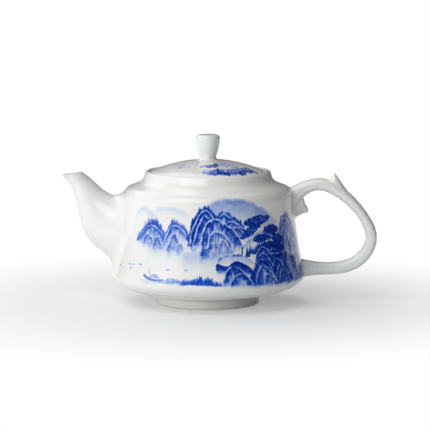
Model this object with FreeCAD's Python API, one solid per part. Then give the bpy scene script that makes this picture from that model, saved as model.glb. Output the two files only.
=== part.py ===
import FreeCAD, Part
import math
import os

# A small porcelain teapot. The pot's foot stands on Z = 0 at the origin, the spout
# points to -X and the handle to +X. The clay pieces are formed one by one and luted
# face to face: base, body, foot ring, spout, strainer and handle make the pot, and
# cover, flange and knob make the lid, which lifts straight off.
# Every size is in millimetres.

# Pot body
wall = 2.8
foot_height = 5.0
bowl_flat_radius = 20.0
bowl_depth = 10.5
belly_radius = 50.8
side_height = 44.8
side_hollow = 1.1
shoulder_radius = 44.6
shoulder_rise = 3.9
collar_height = 5.5
collar_flare = 1.9
rim_width = 2.3
belly_round = 3.0
shoulder_round = 4.0
collar_round = 2.6
rim_round = 1.0

# Foot ring
foot_radius = 27.0
foot_width = 3.4
foot_round = 0.9

# Lid seat in the neck, and the lid
lid_radius = 29.6
lid_gap = 0.7
ledge_width = 3.2
seat_depth = 3.4
lid_edge = 1.9
lid_rise = 7.4
lid_wall = 3.0
lid_round = 0.6
flange_wall = 2.6
flange_depth = 7.5
flange_round = 0.8
vent_diameter = 2.2
vent_offset = 18.0
vent_angle = 241.0

# Lid knob
knob_neck_radius = 4.3
knob_radius = 6.4
knob_waist_height = 1.5
knob_height = 13.2
knob_foot_flare = 1.3
knob_bulge = 0.55
knob_crown = 0.5
knob_round = 1.3

# Spout
spout_rise = 24.3
spout_root_height = 39.0
spout_root_width = 33.0
spout_reach = 20.6
spout_tip_drop = 1.6
spout_tip_length = 10.5
spout_tip_width = 10.4
spout_lip_tilt = 9.0
spout_wall = 2.2
spout_lip = 1.5
spout_hole_radius = 10.0

# Strainer, a pierced half ball luted over the hole behind the spout
strainer_wall = 1.8
strainer_skirt = 2.4
strainer_hole = 2.4
strainer_pitch = 4.4

# Handle
handle_reach = 34.9
handle_top_drop = 5.1
handle_bottom_rise = 2.5
handle_thickness = 6.4
handle_slimming = 1.1
handle_depth = 8.4
handle_root_length = 10.0
handle_root_depth = 13.0
thumb_spur_height = 8.6
thumb_spur_length = 13.0
inner_spur_drop = 3.5
inner_spur_dip = 3.1
inner_spur_out = 8.6
inner_spur_length = 16.0
spur_depth = 7.0

# Levels that follow from the sizes above
z_base = foot_height
z_belly = z_base + bowl_depth
z_shoulder = z_belly + side_height
z_collar = z_shoulder + shoulder_rise
z_rim = z_collar + collar_height
z_ledge = z_rim - seat_depth
z_lid_edge = z_ledge + lid_edge
z_lid_top = z_lid_edge + lid_rise
z_spout = z_belly + spout_rise

# Radii that follow
seat_radius = lid_radius + lid_gap
neck_radius = seat_radius - ledge_width
rim_radius = seat_radius + rim_width
collar_radius = rim_radius + collar_flare
flange_radius = neck_radius - lid_gap
flange_inner = flange_radius - flange_wall
lid_curve = (lid_radius**2 + lid_rise**2) / (2 * lid_rise)

# How far the spout's root is let into the wall, so that its sides meet the round of the pot
spout_root_sink = spout_root_width**2 / (8 * shoulder_radius)

UP = FreeCAD.Vector(0, 0, 1)
ACROSS = FreeCAD.Vector(0, 1, 0)
INWARD = FreeCAD.Vector(1, 0, 0)
ORIGIN = FreeCAD.Vector(0, 0, 0)


def at(radius, height):
    """A point of a turned profile, or of the plane through the spout and the handle."""
    return FreeCAD.Vector(radius, 0, height)


def line(start, end):
    return Part.LineSegment(start, end).toShape()


def arc(start, middle, end):
    return Part.Arc(start, middle, end).toShape()


def bowl_curve(centre_radius, centre_height, reach, depth):
    """The quarter ellipse under the belly, from its flat bottom out to its widest point."""
    ellipse = Part.Ellipse(at(centre_radius + reach, centre_height), at(centre_radius, centre_height - depth),
                           at(centre_radius, centre_height))
    quarter = Part.ArcOfEllipse(ellipse, 0, math.pi / 2)
    return quarter.toShape()


def turned(edges):
    """A solid of revolution about the pot's axis, from the edges of its half section."""
    wire = Part.Wire(Part.__sortEdges__(edges))
    return Part.Face(wire).revolve(ORIGIN, UP, 360)


def circle_edges(solid, radius, height):
    """The turned edges of a solid at one radius and height."""
    found = []
    for edge in solid.Edges:
        box = edge.BoundBox
        flat = box.ZLength < 1e-6 and abs(box.ZMin - height) < 1e-4
        if flat and abs(box.XMax - radius) < 1e-4 and abs(box.XMin + radius) < 1e-4:
            found.append(edge)
    return found


def rounded(solid, size, *rings):
    """The solid with the turned edges at the given (radius, height) pairs rounded off."""
    edges = [edge for ring in rings for edge in circle_edges(solid, *ring)]
    return solid.makeFillet(size, edges)


def side_radius(height):
    """Outside radius of the pot's side wall at a height."""
    share = (height - z_belly) / side_height
    straight = belly_radius + (shoulder_radius - belly_radius) * share
    return straight - 4 * side_hollow * share * (1 - share)


def pot_outside():
    """The pot's outside as a filled solid, from the base to the rim."""
    middle = z_belly + side_height / 2
    solid = turned([
        line(at(0, z_base), at(bowl_flat_radius, z_base)),
        bowl_curve(bowl_flat_radius, z_belly, belly_radius - bowl_flat_radius, bowl_depth),
        arc(at(belly_radius, z_belly), at(side_radius(middle), middle), at(shoulder_radius, z_shoulder)),
        line(at(shoulder_radius, z_shoulder), at(collar_radius, z_collar)),
        line(at(collar_radius, z_collar), at(rim_radius, z_rim)),
        line(at(rim_radius, z_rim), at(0, z_rim)),
        line(at(0, z_rim), at(0, z_base)),
    ])
    solid = rounded(solid, belly_round, (belly_radius, z_belly))
    solid = rounded(solid, shoulder_round, (shoulder_radius, z_shoulder))
    solid = rounded(solid, collar_round, (collar_radius, z_collar))
    return rounded(solid, rim_round, (rim_radius, z_rim))


def pot_inside():
    """The space inside the pot, with the neck and the ledge that the lid sits on."""
    middle = z_belly + side_height / 2
    z_floor = z_base + wall
    z_under_shoulder = z_shoulder - wall
    z_under_neck = z_collar - wall
    return turned([
        line(at(0, z_floor), at(bowl_flat_radius, z_floor)),
        bowl_curve(bowl_flat_radius, z_belly, belly_radius - wall - bowl_flat_radius, bowl_depth - wall),
        arc(at(belly_radius - wall, z_belly), at(side_radius(middle) - wall, middle),
            at(shoulder_radius - wall, z_under_shoulder)),
        line(at(shoulder_radius - wall, z_under_shoulder), at(neck_radius, z_under_neck)),
        line(at(neck_radius, z_under_neck), at(neck_radius, z_ledge)),
        line(at(neck_radius, z_ledge), at(seat_radius, z_ledge)),
        line(at(seat_radius, z_ledge), at(seat_radius, z_rim)),
        line(at(seat_radius, z_rim), at(0, z_rim)),
        line(at(0, z_rim), at(0, z_floor)),
    ])


def below_belly():
    """The space below the belly line, where the wall is luted to the bowl of the base."""
    return Part.makeCylinder(2 * belly_radius, z_belly)


def pot_base(outside, inside):
    """The shallow bowl that the wall stands on."""
    return outside.cut(inside).common(below_belly())


def pot_body(outside, inside):
    """The wall, shoulder and collar, with the round hole that lets the tea into the spout."""
    shell = rounded(outside.cut(inside), rim_round, (seat_radius, z_rim))
    hole = Part.makeCylinder(spout_hole_radius, belly_radius, at(0, z_spout), FreeCAD.Vector(-1, 0, 0))
    return shell.cut([below_belly(), hole])


def foot_ring(outside):
    """The ring that the pot stands on, rounded where it meets the table."""
    inner = foot_radius - foot_width
    ring = Part.makeCylinder(foot_radius, z_belly).cut(Part.makeCylinder(inner, z_belly))
    ring = rounded(ring, foot_round, (foot_radius, 0), (inner, 0))
    return ring.cut(outside)


def oval(centre, along, half_length, half_width, squareness=2.0):
    """A closed section: its length runs along a direction in the XZ plane, its width along Y."""
    points = []
    count = 16
    power = 2 / squareness
    for step in range(count):
        turn = 2 * math.pi * step / count
        length = math.copysign(abs(math.cos(turn))**power, math.cos(turn)) * half_length
        width = math.copysign(abs(math.sin(turn))**power, math.sin(turn)) * half_width
        points.append(centre + along * length + ACROSS * width)
    curve = Part.BSplineCurve()
    curve.interpolate(points, PeriodicFlag=True)
    stops = curve.getKnots()[::count // 4]
    return Part.Wire([curve.toShape(first, last) for first, last in zip(stops, stops[1:])])


def curve_through(points):
    """A smooth curve through a few points."""
    curve = Part.BSplineCurve()
    curve.interpolate(points)
    return curve


def spout_guides():
    """The spout's lower and upper outline in the XZ plane, from the pot's wall to the lip."""
    half = spout_root_height / 2
    tip = at(-belly_radius - spout_reach, z_rim - spout_tip_drop)
    tilt = math.radians(spout_lip_tilt)
    lip = at(math.cos(tilt), math.sin(tilt)) * (spout_tip_length / 2)
    low_root = at(-side_radius(z_spout - half) + wall / 2, z_spout - half)
    high_root = at(-side_radius(z_spout + half) + wall / 2, z_spout + half)
    low_tip = tip - lip
    high_tip = tip + lip
    rise = low_tip.z - low_root.z
    out = low_root.x - low_tip.x
    low = curve_through([
        low_root,
        low_root + at(-0.14 * out, 0.09 * rise),
        low_root + at(-0.36 * out, 0.19 * rise),
        low_root + at(-0.60 * out, 0.39 * rise),
        low_root + at(-0.71 * out, 0.66 * rise),
        low_tip,
    ])
    lift = high_tip.z - high_root.z
    back = high_root.x - high_tip.x
    high = curve_through([
        high_root,
        high_root + at(-0.16 * back, -0.32 * lift),
        high_root + at(-0.39 * back, -0.15 * lift),
        high_root + at(-0.74 * back, 0.54 * lift),
        high_tip,
    ])
    return low, high


def spout_loft(root_inset, lip_inset):
    """The spout's skin, or its bore when it is inset by the clay's thickness."""
    low, high = spout_guides()
    stations = 9
    sections = []
    for step in range(stations):
        share = step / (stations - 1)
        start = low.value(low.FirstParameter + share * (low.LastParameter - low.FirstParameter))
        end = high.value(high.FirstParameter + share * (high.LastParameter - high.FirstParameter))
        along = end - start
        inset = root_inset + (lip_inset - root_inset) * share
        half_length = along.Length / 2 - inset
        taper = (1 - share)**1.7
        half_width = (spout_tip_width + (spout_root_width - spout_tip_width) * taper) / 2 - inset
        sections.append(oval((start + end) / 2, along.normalize(), half_length, half_width))
    root = sections[0].copy()
    root.translate(INWARD * spout_root_sink)
    return Part.makeLoft([root] + sections, True)


def spout(outside):
    """The hollow spout, cut to sit on the pot's wall."""
    return spout_loft(0, 0).cut(spout_loft(spout_wall, spout_lip)).cut(outside)


def strainer_shell():
    """A half ball on a straight skirt, turned about the spout hole's axis, with its middle hole."""
    inner = spout_hole_radius
    outer = inner + strainer_wall
    middle = strainer_hole / 2
    x_back = -side_radius(z_spout)
    x_ball = x_back + wall + strainer_skirt

    def ball_point(radius, away):
        return at(x_ball + math.sqrt(radius**2 - away**2), z_spout + away)

    edges = [
        line(at(x_back, z_spout + outer), at(x_ball, z_spout + outer)),
        arc(at(x_ball, z_spout + outer), ball_point(outer, outer / 2), ball_point(outer, middle)),
        line(ball_point(outer, middle), ball_point(inner, middle)),
        arc(ball_point(inner, middle), ball_point(inner, inner / 2), at(x_ball, z_spout + inner)),
        line(at(x_ball, z_spout + inner), at(x_back, z_spout + inner)),
        line(at(x_back, z_spout + inner), at(x_back, z_spout + outer)),
    ]
    return Part.Face(Part.Wire(edges)).revolve(at(0, z_spout), INWARD, 360)


def strainer(inside):
    """The pierced half ball inside the pot, flush with the edge of the spout's hole."""
    shell = strainer_shell().common(inside)
    for ring, count in ((strainer_pitch, 6), (strainer_pitch * math.sqrt(3), 6)):
        for step in range(count):
            turn = 2 * math.pi * (step + (ring > strainer_pitch) / 2) / count
            start = FreeCAD.Vector(-belly_radius, ring * math.cos(turn), z_spout + ring * math.sin(turn))
            shell = shell.cut(Part.makeCylinder(strainer_hole / 2, belly_radius, start, INWARD))
    return shell


def handle_line():
    """The handle's centre line, from its upper root round to its lower root."""
    z_top = z_shoulder - handle_top_drop
    z_bottom = z_belly + handle_bottom_rise
    top = at(side_radius(z_top) - wall / 2, z_top)
    bottom = at(side_radius(z_bottom) - wall / 2, z_bottom)
    out = belly_radius + handle_reach - top.x
    rise = z_top - z_bottom
    return curve_through([
        top,
        at(top.x + 0.17 * out, z_bottom + 1.14 * rise),
        at(top.x + 0.34 * out, z_bottom + 1.195 * rise),
        at(top.x + 0.63 * out, z_bottom + 1.06 * rise),
        at(top.x + 0.91 * out, z_bottom + 0.72 * rise),
        at(top.x + out, z_bottom + 0.43 * rise),
        at(top.x + 0.85 * out, z_bottom + 0.12 * rise),
        at(top.x + 0.50 * out, z_bottom),
        bottom,
    ])


def handle_bow():
    """The handle's bow, an oval section carried along the centre line and spread at both roots."""
    path = handle_line()
    stations = 25
    sections = []
    for step in range(stations):
        share = step / (stations - 1)
        place = path.FirstParameter + share * (path.LastParameter - path.FirstParameter)
        tangent = path.tangent(place)[0]
        root = max(0, 1 - share / 0.14, 1 - (1 - share) / 0.14)**2
        thickness = handle_thickness - handle_slimming * math.exp(-((share - 0.42) / 0.12)**2)
        thickness += (handle_root_length - thickness) * root
        depth = handle_depth + (handle_root_depth - handle_depth) * root
        sections.append(oval(path.value(place), tangent.cross(ACROSS), thickness / 2, depth / 2, 2.6))
    return Part.makeLoft(sections, True)


def thumb_spur():
    """The upright spur on the bow that the thumb rests behind."""
    path = handle_line()
    foot = path.value(path.FirstParameter + 0.246 * (path.LastParameter - path.FirstParameter))
    sections = []
    for height, length, depth in ((0, 1, 1), (0.36, 0.60, 0.95), (0.60, 0.40, 0.85), (0.82, 0.2, 0.6)):
        centre = foot + UP * (height * thumb_spur_height)
        lean = at(0.88 + 0.1 * height, 0.1 * height - 0.48).normalize()
        sections.append(oval(centre, lean, length * thumb_spur_length / 2, depth * spur_depth / 2))
    tip = Part.Vertex(foot + UP * thumb_spur_height)
    return Part.makeLoft(sections + [tip], True)


def inner_spur():
    """The hooked bracket under the bow's upper root."""
    z_root = z_shoulder - handle_top_drop - inner_spur_drop
    root = at(side_radius(z_root) - wall / 2, z_root)
    sections = []
    for out, dip, length, depth in ((0, 0, 1, 1.6), (0.42, 0.08, 0.85, 1.2), (0.62, 0.3, 0.54, 1),
                                    (0.78, 0.68, 0.28, 0.9), (0.91, 0.88, 0.16, 0.7)):
        centre = root + at(out * inner_spur_out, -dip * inner_spur_dip)
        sections.append(oval(centre, UP, length * inner_spur_length / 2, depth * spur_depth / 2))
    tip = Part.Vertex(root + at(inner_spur_out, -inner_spur_dip))
    return Part.makeLoft(sections + [tip], True)


def handle(outside):
    """The ear handle with its two spurs, cut to sit on the pot's wall."""
    return handle_bow().fuse([thumb_spur(), inner_spur()]).cut(outside)


def dome_drop(radius):
    """How far the cover's dome has fallen from its top at a radius."""
    return lid_curve - math.sqrt(lid_curve**2 - radius**2)


def lid_cover():
    """The domed cover, with a flat seat for the pot's ledge and a vent hole."""
    middle = lid_radius / 2
    under = lid_curve - lid_wall
    z_centre = z_lid_top - lid_curve
    z_under = z_centre + math.sqrt(under**2 - flange_inner**2)
    cover = turned([
        line(at(0, z_lid_top - lid_wall), at(0, z_lid_top)),
        arc(at(0, z_lid_top), at(middle, z_lid_top - dome_drop(middle)), at(lid_radius, z_lid_edge)),
        line(at(lid_radius, z_lid_edge), at(lid_radius, z_ledge)),
        line(at(lid_radius, z_ledge), at(flange_inner, z_ledge)),
        line(at(flange_inner, z_ledge), at(flange_inner, z_under)),
        arc(at(flange_inner, z_under), at(flange_inner / 2, z_centre + math.sqrt(under**2 - flange_inner**2 / 4)),
            at(0, z_lid_top - lid_wall)),
    ])
    cover = rounded(cover, lid_round, (lid_radius, z_lid_edge))
    turn = math.radians(vent_angle)
    foot = FreeCAD.Vector(vent_offset * math.cos(turn), vent_offset * math.sin(turn), z_ledge)
    return cover.cut(Part.makeCylinder(vent_diameter / 2, z_lid_top - z_ledge, foot))


def lid_flange():
    """The ring under the cover that keeps the lid in the neck."""
    bottom = z_ledge - flange_depth
    ring = Part.makeCylinder(flange_radius, flange_depth, at(0, bottom))
    ring = ring.cut(Part.makeCylinder(flange_inner, flange_depth, at(0, bottom)))
    return rounded(ring, flange_round, (flange_radius, bottom), (flange_inner, bottom))


def lid_knob():
    """The flared knob, whose foot takes the curve of the cover's dome."""
    foot = knob_neck_radius + knob_foot_flare
    z_foot = z_lid_top - dome_drop(foot)
    z_waist = z_lid_top + knob_waist_height
    z_top = z_lid_top + knob_height
    z_side = (z_waist + z_top) / 2
    side = (knob_neck_radius + knob_radius) / 2 + knob_bulge
    bend = knob_foot_flare * (1 - math.sqrt(0.5))
    knob = turned([
        line(at(0, z_lid_top), at(0, z_top)),
        arc(at(0, z_top), at(knob_radius / 2, z_top - knob_crown / 4), at(knob_radius, z_top - knob_crown)),
        arc(at(knob_radius, z_top - knob_crown), at(side, z_side), at(knob_neck_radius, z_waist)),
        arc(at(knob_neck_radius, z_waist), at(knob_neck_radius + bend, z_foot + (z_waist - z_foot) / 3),
            at(foot, z_foot)),
        arc(at(foot, z_foot), at(foot / 2, z_lid_top - dome_drop(foot / 2)), at(0, z_lid_top)),
    ])
    return rounded(knob, knob_round, (knob_radius, z_top - knob_crown))


def main():
    os.makedirs("parts", exist_ok=True)
    outside = pot_outside()
    inside = pot_inside()
    parts = {
        "pot_base": pot_base(outside, inside),
        "pot_body": pot_body(outside, inside),
        "foot_ring": foot_ring(outside),
        "spout": spout(outside),
        "strainer": strainer(inside),
        "handle": handle(outside),
        "lid_cover": lid_cover(),
        "lid_flange": lid_flange(),
        "lid_knob": lid_knob(),
    }
    for name, shape in parts.items():
        print(name, "valid" if shape.isValid() else "not valid", round(shape.Volume), "mm3")
        shape.exportStep(f"parts/{name}.step")


main()
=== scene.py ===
"""A small porcelain teapot with a cobalt landscape under its glaze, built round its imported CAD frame."""

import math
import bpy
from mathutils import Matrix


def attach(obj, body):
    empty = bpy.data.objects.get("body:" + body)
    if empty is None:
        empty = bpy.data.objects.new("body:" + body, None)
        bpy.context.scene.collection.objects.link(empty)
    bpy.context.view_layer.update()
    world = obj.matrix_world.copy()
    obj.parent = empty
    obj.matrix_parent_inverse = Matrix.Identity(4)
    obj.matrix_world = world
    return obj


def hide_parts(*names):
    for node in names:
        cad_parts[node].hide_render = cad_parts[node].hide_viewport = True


bl_info = {
    "name": "Blue and White Teapot",
    "version": (1, 0, 0),
    "blender": (4, 5, 0),
    "location": "View3D > Sidebar > Teapot",
    "description": "Builds a lidded porcelain teapot with a cobalt landscape round its CAD frame",
    "category": "Object",
}

import bmesh
import bpy
import numpy as np
from bpy.props import FloatProperty, FloatVectorProperty, PointerProperty
from mathutils import Matrix, Vector
from mathutils.bvhtree import BVHTree

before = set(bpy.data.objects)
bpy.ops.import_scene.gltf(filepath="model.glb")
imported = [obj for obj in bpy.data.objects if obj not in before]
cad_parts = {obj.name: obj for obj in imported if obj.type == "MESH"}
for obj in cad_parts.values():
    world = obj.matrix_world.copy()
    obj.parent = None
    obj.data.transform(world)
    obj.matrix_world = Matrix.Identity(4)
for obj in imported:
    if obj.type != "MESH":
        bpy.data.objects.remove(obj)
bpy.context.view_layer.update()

MM = 0.001
UP = Vector((0.0, 0.0, 1.0))
ACROSS = Vector((0.0, 1.0, 0.0))
RING_STEPS = 192

# Between two skins of one wall, and between a luted piece's cut face and the wall.
HAIR = 0.03 * MM
# From a fillet's thin edge down into the surface that it lies on.
SINK = 0.02 * MM
# Points closer together than this are one.
WELD = 0.002 * MM


def length(name, description, millimetres):
    """A size that is written in millimetres and kept in metres."""
    return FloatProperty(name=name, description=description, default=millimetres * MM, min=0.0,
                         unit="LENGTH", precision=5)


def shade(name, description, colour):
    """A colour in linear light."""
    return FloatVectorProperty(name=name, description=description, default=colour, size=3,
                               min=0.0, max=1.0, subtype="COLOR")


def angle(name, description, degrees):
    """An angle that is written in degrees and kept in radians."""
    return FloatProperty(name=name, description=description, default=math.radians(degrees), subtype="ANGLE")


class PotSizes(bpy.types.PropertyGroup):
    """Sizes of the pot's base, wall and foot ring."""

    wall: length("Wall", "Thickness of the clay", 2.8)
    foot_height: length("Foot height", "Height of the base above the table", 5.0)
    foot_radius: length("Foot radius", "Outside radius of the foot ring", 27.0)
    foot_width: length("Foot width", "Width of the foot ring", 3.4)
    foot_round: length("Foot round", "Rounding of the foot ring at the table", 0.9)
    foot_spread: length("Foot spread", "Reach of the foot's fillet under the bowl", 2.4)
    foot_fillet: length("Foot fillet", "Rounding of the fillet outside the foot", 1.3)
    foot_inner_spread: length("Foot inner spread", "Reach of the foot's fillet under the base", 2.0)
    foot_inner_fillet: length("Foot inner fillet", "Rounding of the fillet inside the foot", 1.0)
    foot_join: length("Foot join", "Rise of the bowl above the base at the foot's outside", 0.3)
    foot_join_slope: length("Foot join slope", "Rise of the bowl under the foot's fillet", 0.2)
    bowl_flat_radius: length("Bowl flat radius", "Radius of the flat middle of the base", 20.0)
    bowl_depth: length("Bowl depth", "Height of the belly line above the base", 10.5)
    belly_radius: length("Belly radius", "Outside radius at the belly line", 50.8)
    side_height: length("Side height", "Height of the side wall from belly line to shoulder", 44.8)
    side_hollow: length("Side hollow", "How far the side wall bows in", 1.1)
    shoulder_radius: length("Shoulder radius", "Outside radius at the shoulder", 44.6)
    shoulder_rise: length("Shoulder rise", "Height from the shoulder to the collar's foot", 3.9)
    collar_radius: length("Collar radius", "Outside radius at the collar's foot", 34.5)
    collar_height: length("Collar height", "Height of the collar", 5.5)
    rim_radius: length("Rim radius", "Outside radius of the rim", 32.6)
    seat_radius: length("Seat radius", "Radius of the recess that takes the lid", 30.3)
    seat_depth: length("Seat depth", "Depth of the ledge below the rim", 3.4)
    neck_radius: length("Neck radius", "Radius of the mouth inside the ledge", 27.1)
    shoulder_round: length("Shoulder round", "Rounding of the shoulder", 3.6)
    collar_round: length("Collar round", "Rounding of the hollow at the collar's foot", 2.3)
    rim_round: length("Rim round", "Rounding of the rim's two edges", 1.1)
    seat_round: length("Seat round", "Rounding of the recess at the ledge", 0.4)
    ledge_round: length("Ledge round", "Rounding of the ledge's edge", 0.5)
    neck_round: length("Neck round", "Rounding of the neck's lower edge", 0.8)
    inner_shoulder_round: length("Inner shoulder round", "Rounding of the shoulder inside", 2.0)


class LidSizes(bpy.types.PropertyGroup):
    """Sizes of the cover, its flange and its knob."""

    radius: length("Radius", "Radius of the cover", 29.6)
    edge: length("Edge", "Height of the cover's edge above the ledge", 3.1)
    rise: length("Rise", "Height of the dome above the edge", 6.2)
    wall: length("Wall", "Thickness of the dome", 3.0)
    edge_round: length("Edge round", "Rounding of the cover's edge", 0.6)
    seat_round: length("Seat round", "Rounding of the edge that sits on the ledge", 0.3)
    flange_radius: length("Flange radius", "Outside radius of the flange", 26.4)
    flange_wall: length("Flange wall", "Thickness of the flange", 2.6)
    flange_depth: length("Flange depth", "Depth of the flange below the ledge", 7.5)
    flange_round: length("Flange round", "Rounding of the flange's lower edge", 0.8)
    flange_fillet: length("Flange fillet", "Rounding where the flange meets the cover", 0.4)
    flange_spread: length("Flange spread", "Reach of the flange's fillet under the cover", 0.5)
    flange_overlap: length("Flange overlap", "Depth of the flange's top in the cover", 0.8)
    vent_diameter: length("Vent diameter", "Diameter of the vent hole", 2.2)
    vent_offset: length("Vent offset", "Distance of the vent hole from the axis", 18.0)
    vent_angle: angle("Vent angle", "Place of the vent hole round the axis", 241.0)
    knob_neck_radius: length("Knob neck radius", "Radius of the knob's waist", 4.3)
    knob_radius: length("Knob radius", "Radius of the knob's top", 6.4)
    knob_waist_height: length("Knob waist height", "Height of the waist above the dome", 1.5)
    knob_height: length("Knob height", "Height of the knob above the dome", 13.2)
    knob_foot_flare: length("Knob foot flare", "Spread of the knob's foot on the dome", 1.3)
    knob_foot_lip: length("Knob foot lip", "Reach of the foot's thin edge past the flare", 1.0)
    knob_foot_rise: length("Knob foot rise", "Height of the flare's edge above the dome", 0.08)
    knob_bulge: length("Knob bulge", "How far the knob's side swells", 0.55)
    knob_crown: length("Knob crown", "Rise of the knob's top", 0.5)
    knob_round: length("Knob round", "Rounding of the knob's top edge", 1.8)


class SpoutSizes(bpy.types.PropertyGroup):
    """Sizes of the spout and the hole behind it."""

    rise: length("Rise", "Height of the spout's root above the belly line", 24.3)
    root_height: length("Root height", "Height of the root on the wall", 39.0)
    root_width: length("Root width", "Width of the root on the wall", 33.0)
    reach: length("Reach", "Distance of the lip's middle past the belly", 20.6)
    tip_drop: length("Tip drop", "Height of the lip's middle below the rim", 1.6)
    tip_length: length("Tip length", "Length of the lip", 10.5)
    tip_width: length("Tip width", "Width of the lip", 10.4)
    lip_tilt: angle("Lip tilt", "Slope of the lip", 9.0)
    wall: length("Wall", "Thickness of the clay at the root", 2.2)
    lip: length("Lip", "Thickness of the clay at the lip", 1.5)
    lute: length("Lute", "Width of the fillet of slip round the root", 5.0)
    hole_radius: length("Hole radius", "Radius of the hole in the pot's wall", 10.0)


class HandleSizes(bpy.types.PropertyGroup):
    """Sizes of the ear handle and its spurs."""

    reach: length("Reach", "Reach of the centre line past the belly", 34.9)
    top_drop: length("Top drop", "Height of the upper root below the shoulder", 5.1)
    bottom_rise: length("Bottom rise", "Height of the lower root above the belly line", 2.5)
    thickness: length("Thickness", "Thickness of the bow", 6.4)
    slimming: length("Slimming", "How much thinner the bow is behind the thumb spur", 1.1)
    depth: length("Depth", "Width of the bow across", 8.4)
    root_length: length("Root length", "Height of the spread roots", 10.0)
    root_depth: length("Root depth", "Width of the spread roots across", 13.0)
    thumb_spur_height: length("Thumb spur height", "Height of the thumb spur", 8.6)
    thumb_spur_length: length("Thumb spur length", "Length of the thumb spur's foot", 13.0)
    inner_spur_drop: length("Inner spur drop", "Height of the bracket below the upper root", 3.5)
    inner_spur_dip: length("Inner spur dip", "Drop of the bracket's hook", 3.1)
    inner_spur_out: length("Inner spur out", "Reach of the bracket", 8.6)
    inner_spur_length: length("Inner spur length", "Height of the bracket on the wall", 16.0)
    spur_depth: length("Spur depth", "Width of the spurs across", 7.0)
    skin_grid: length("Skin grid", "Grid of the skin that blends the bow and its spurs", 0.4)


class Finishes(bpy.types.PropertyGroup):
    """Colours and sheen of the glaze, the cobalt and the bare clay."""

    glaze: shade("Glaze", "Clear glaze over white porcelain", (0.83, 0.83, 0.82))
    pooled_glaze: shade("Pooled glaze", "Glaze where it lies thick", (0.74, 0.77, 0.79))
    wash: shade("Wash", "Thinnest cobalt wash", (0.42, 0.53, 0.78))
    mid_cobalt: shade("Mid cobalt", "Cobalt brushed on once", (0.022, 0.115, 0.57))
    deep_cobalt: shade("Deep cobalt", "Cobalt brushed on thick", (0.001, 0.013, 0.25))
    biscuit: shade("Biscuit", "Bare fired clay under the foot", (0.72, 0.66, 0.57))
    glaze_roughness: FloatProperty(name="Glaze roughness", description="Roughness of the clear glaze",
                                   default=0.09, min=0.0, max=1.0, subtype="FACTOR")
    biscuit_roughness: FloatProperty(name="Biscuit roughness", description="Roughness of the bare clay",
                                     default=0.7, min=0.0, max=1.0, subtype="FACTOR")


class StudioSettings(bpy.types.PropertyGroup):
    """The camera and the light."""

    camera_rise: angle("Camera rise", "Height of the camera above the horizon", 7.2)
    camera_distance: length("Camera distance", "Distance of the camera from what it looks at", 1300.0)
    sensor_width: FloatProperty(name="Sensor width", description="Width of the camera's sensor",
                                default=36.0, unit="CAMERA")
    focal_length: FloatProperty(name="Focal length", description="Focal length of the camera",
                                default=207.6, unit="CAMERA")
    look_at: FloatVectorProperty(name="Look at", description="Point that the camera looks at",
                                 default=(3.7 * MM, 0.0, 46.2 * MM), size=3, subtype="TRANSLATION")
    lamp_aim: FloatVectorProperty(name="Lamp aim", description="Point that the lamps face",
                                  default=(0.0, 0.0, 40.0 * MM), size=3, subtype="TRANSLATION")
    floor_colour: shade("Floor", "Pale floor", (0.9, 0.9, 0.9))


def side_radius(pot, height):
    """Outside radius of the pot's side wall at a height."""
    share = (height - pot.foot_height - pot.bowl_depth) / pot.side_height
    straight = pot.belly_radius + (pot.shoulder_radius - pot.belly_radius) * share
    return straight - 4 * pot.side_hollow * share * (1 - share)


def bowed(start, end, sag, count):
    """Points along a stretch of a half section that bows towards the axis, without its last point."""
    points = []
    for step in range(count):
        share = step / count
        radius = start[0] + (end[0] - start[0]) * share - 4 * sag * share * (1 - share)
        points.append((radius, start[1] + (end[1] - start[1]) * share))
    return points


def bowl_curve(flat_radius, top, reach, depth, count):
    """Points of the quarter ellipse under the belly, without its last point."""
    turns = [math.pi / 2 * step / count for step in range(count)]
    return [(flat_radius + reach * math.sin(turn), top - depth * math.cos(turn)) for turn in turns]


def three_point_curve(start, middle, end, count):
    """Points of the even curve through three points of a half section, without its last point."""
    points = []
    for step in range(count):
        share = step / count
        weights = ((1 - share) * (1 - 2 * share), 4 * share * (1 - share), share * (2 * share - 1))
        stops = list(zip(weights, (start, middle, end)))
        points.append(tuple(sum(weight * point[axis] for weight, point in stops) for axis in (0, 1)))
    return points


def stopped_short(points, corner, distance):
    """The points of a stretch that leave room for rounding the corner it ends at."""
    return [point for point in points if math.dist(point, corner) > distance]


def half_section(points, rounds, closed=False):
    """A wire of (radius, height) points. Some are rounded: {index of the point: (offset, segments)}."""
    section = bmesh.new()
    corners = [section.verts.new((radius, 0.0, height)) for radius, height in points]
    for first, second in zip(corners, corners[1:]):
        section.edges.new((first, second))
    if closed:
        section.edges.new((corners[-1], corners[0]))
    for index, (offset, segments) in rounds.items():
        bmesh.ops.bevel(section, geom=[corners[index]], offset=offset, offset_type="OFFSET",
                        affect="VERTICES", segments=segments, profile=0.5, material=-1)
    return section


def swung(shape, verts, turn):
    """Swings some of a shape's vertices round the upright axis."""
    bmesh.ops.rotate(shape, verts=verts, cent=(0, 0, 0), matrix=Matrix.Rotation(turn, 3, "Z"))


def turned(section, steps, start=0.0, sweep=2 * math.pi):
    """Turns a half section through an angle: a narrow strip is spun, then copied round in doublings."""
    swung(section, section.verts[:], start)
    strip = steps
    while strip % 2 == 0:
        strip //= 2
    bmesh.ops.spin(section, geom=section.verts[:] + section.edges[:], cent=(0, 0, 0), axis=UP,
                   angle=sweep * strip / steps, steps=strip)
    while strip < steps:
        done = section.verts[:] + section.edges[:] + section.faces[:]
        copied = bmesh.ops.duplicate(section, geom=done)["geom"]
        swung(section, [part for part in copied if isinstance(part, bmesh.types.BMVert)],
              sweep * strip / steps)
        strip *= 2
    return welded(section)


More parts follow.
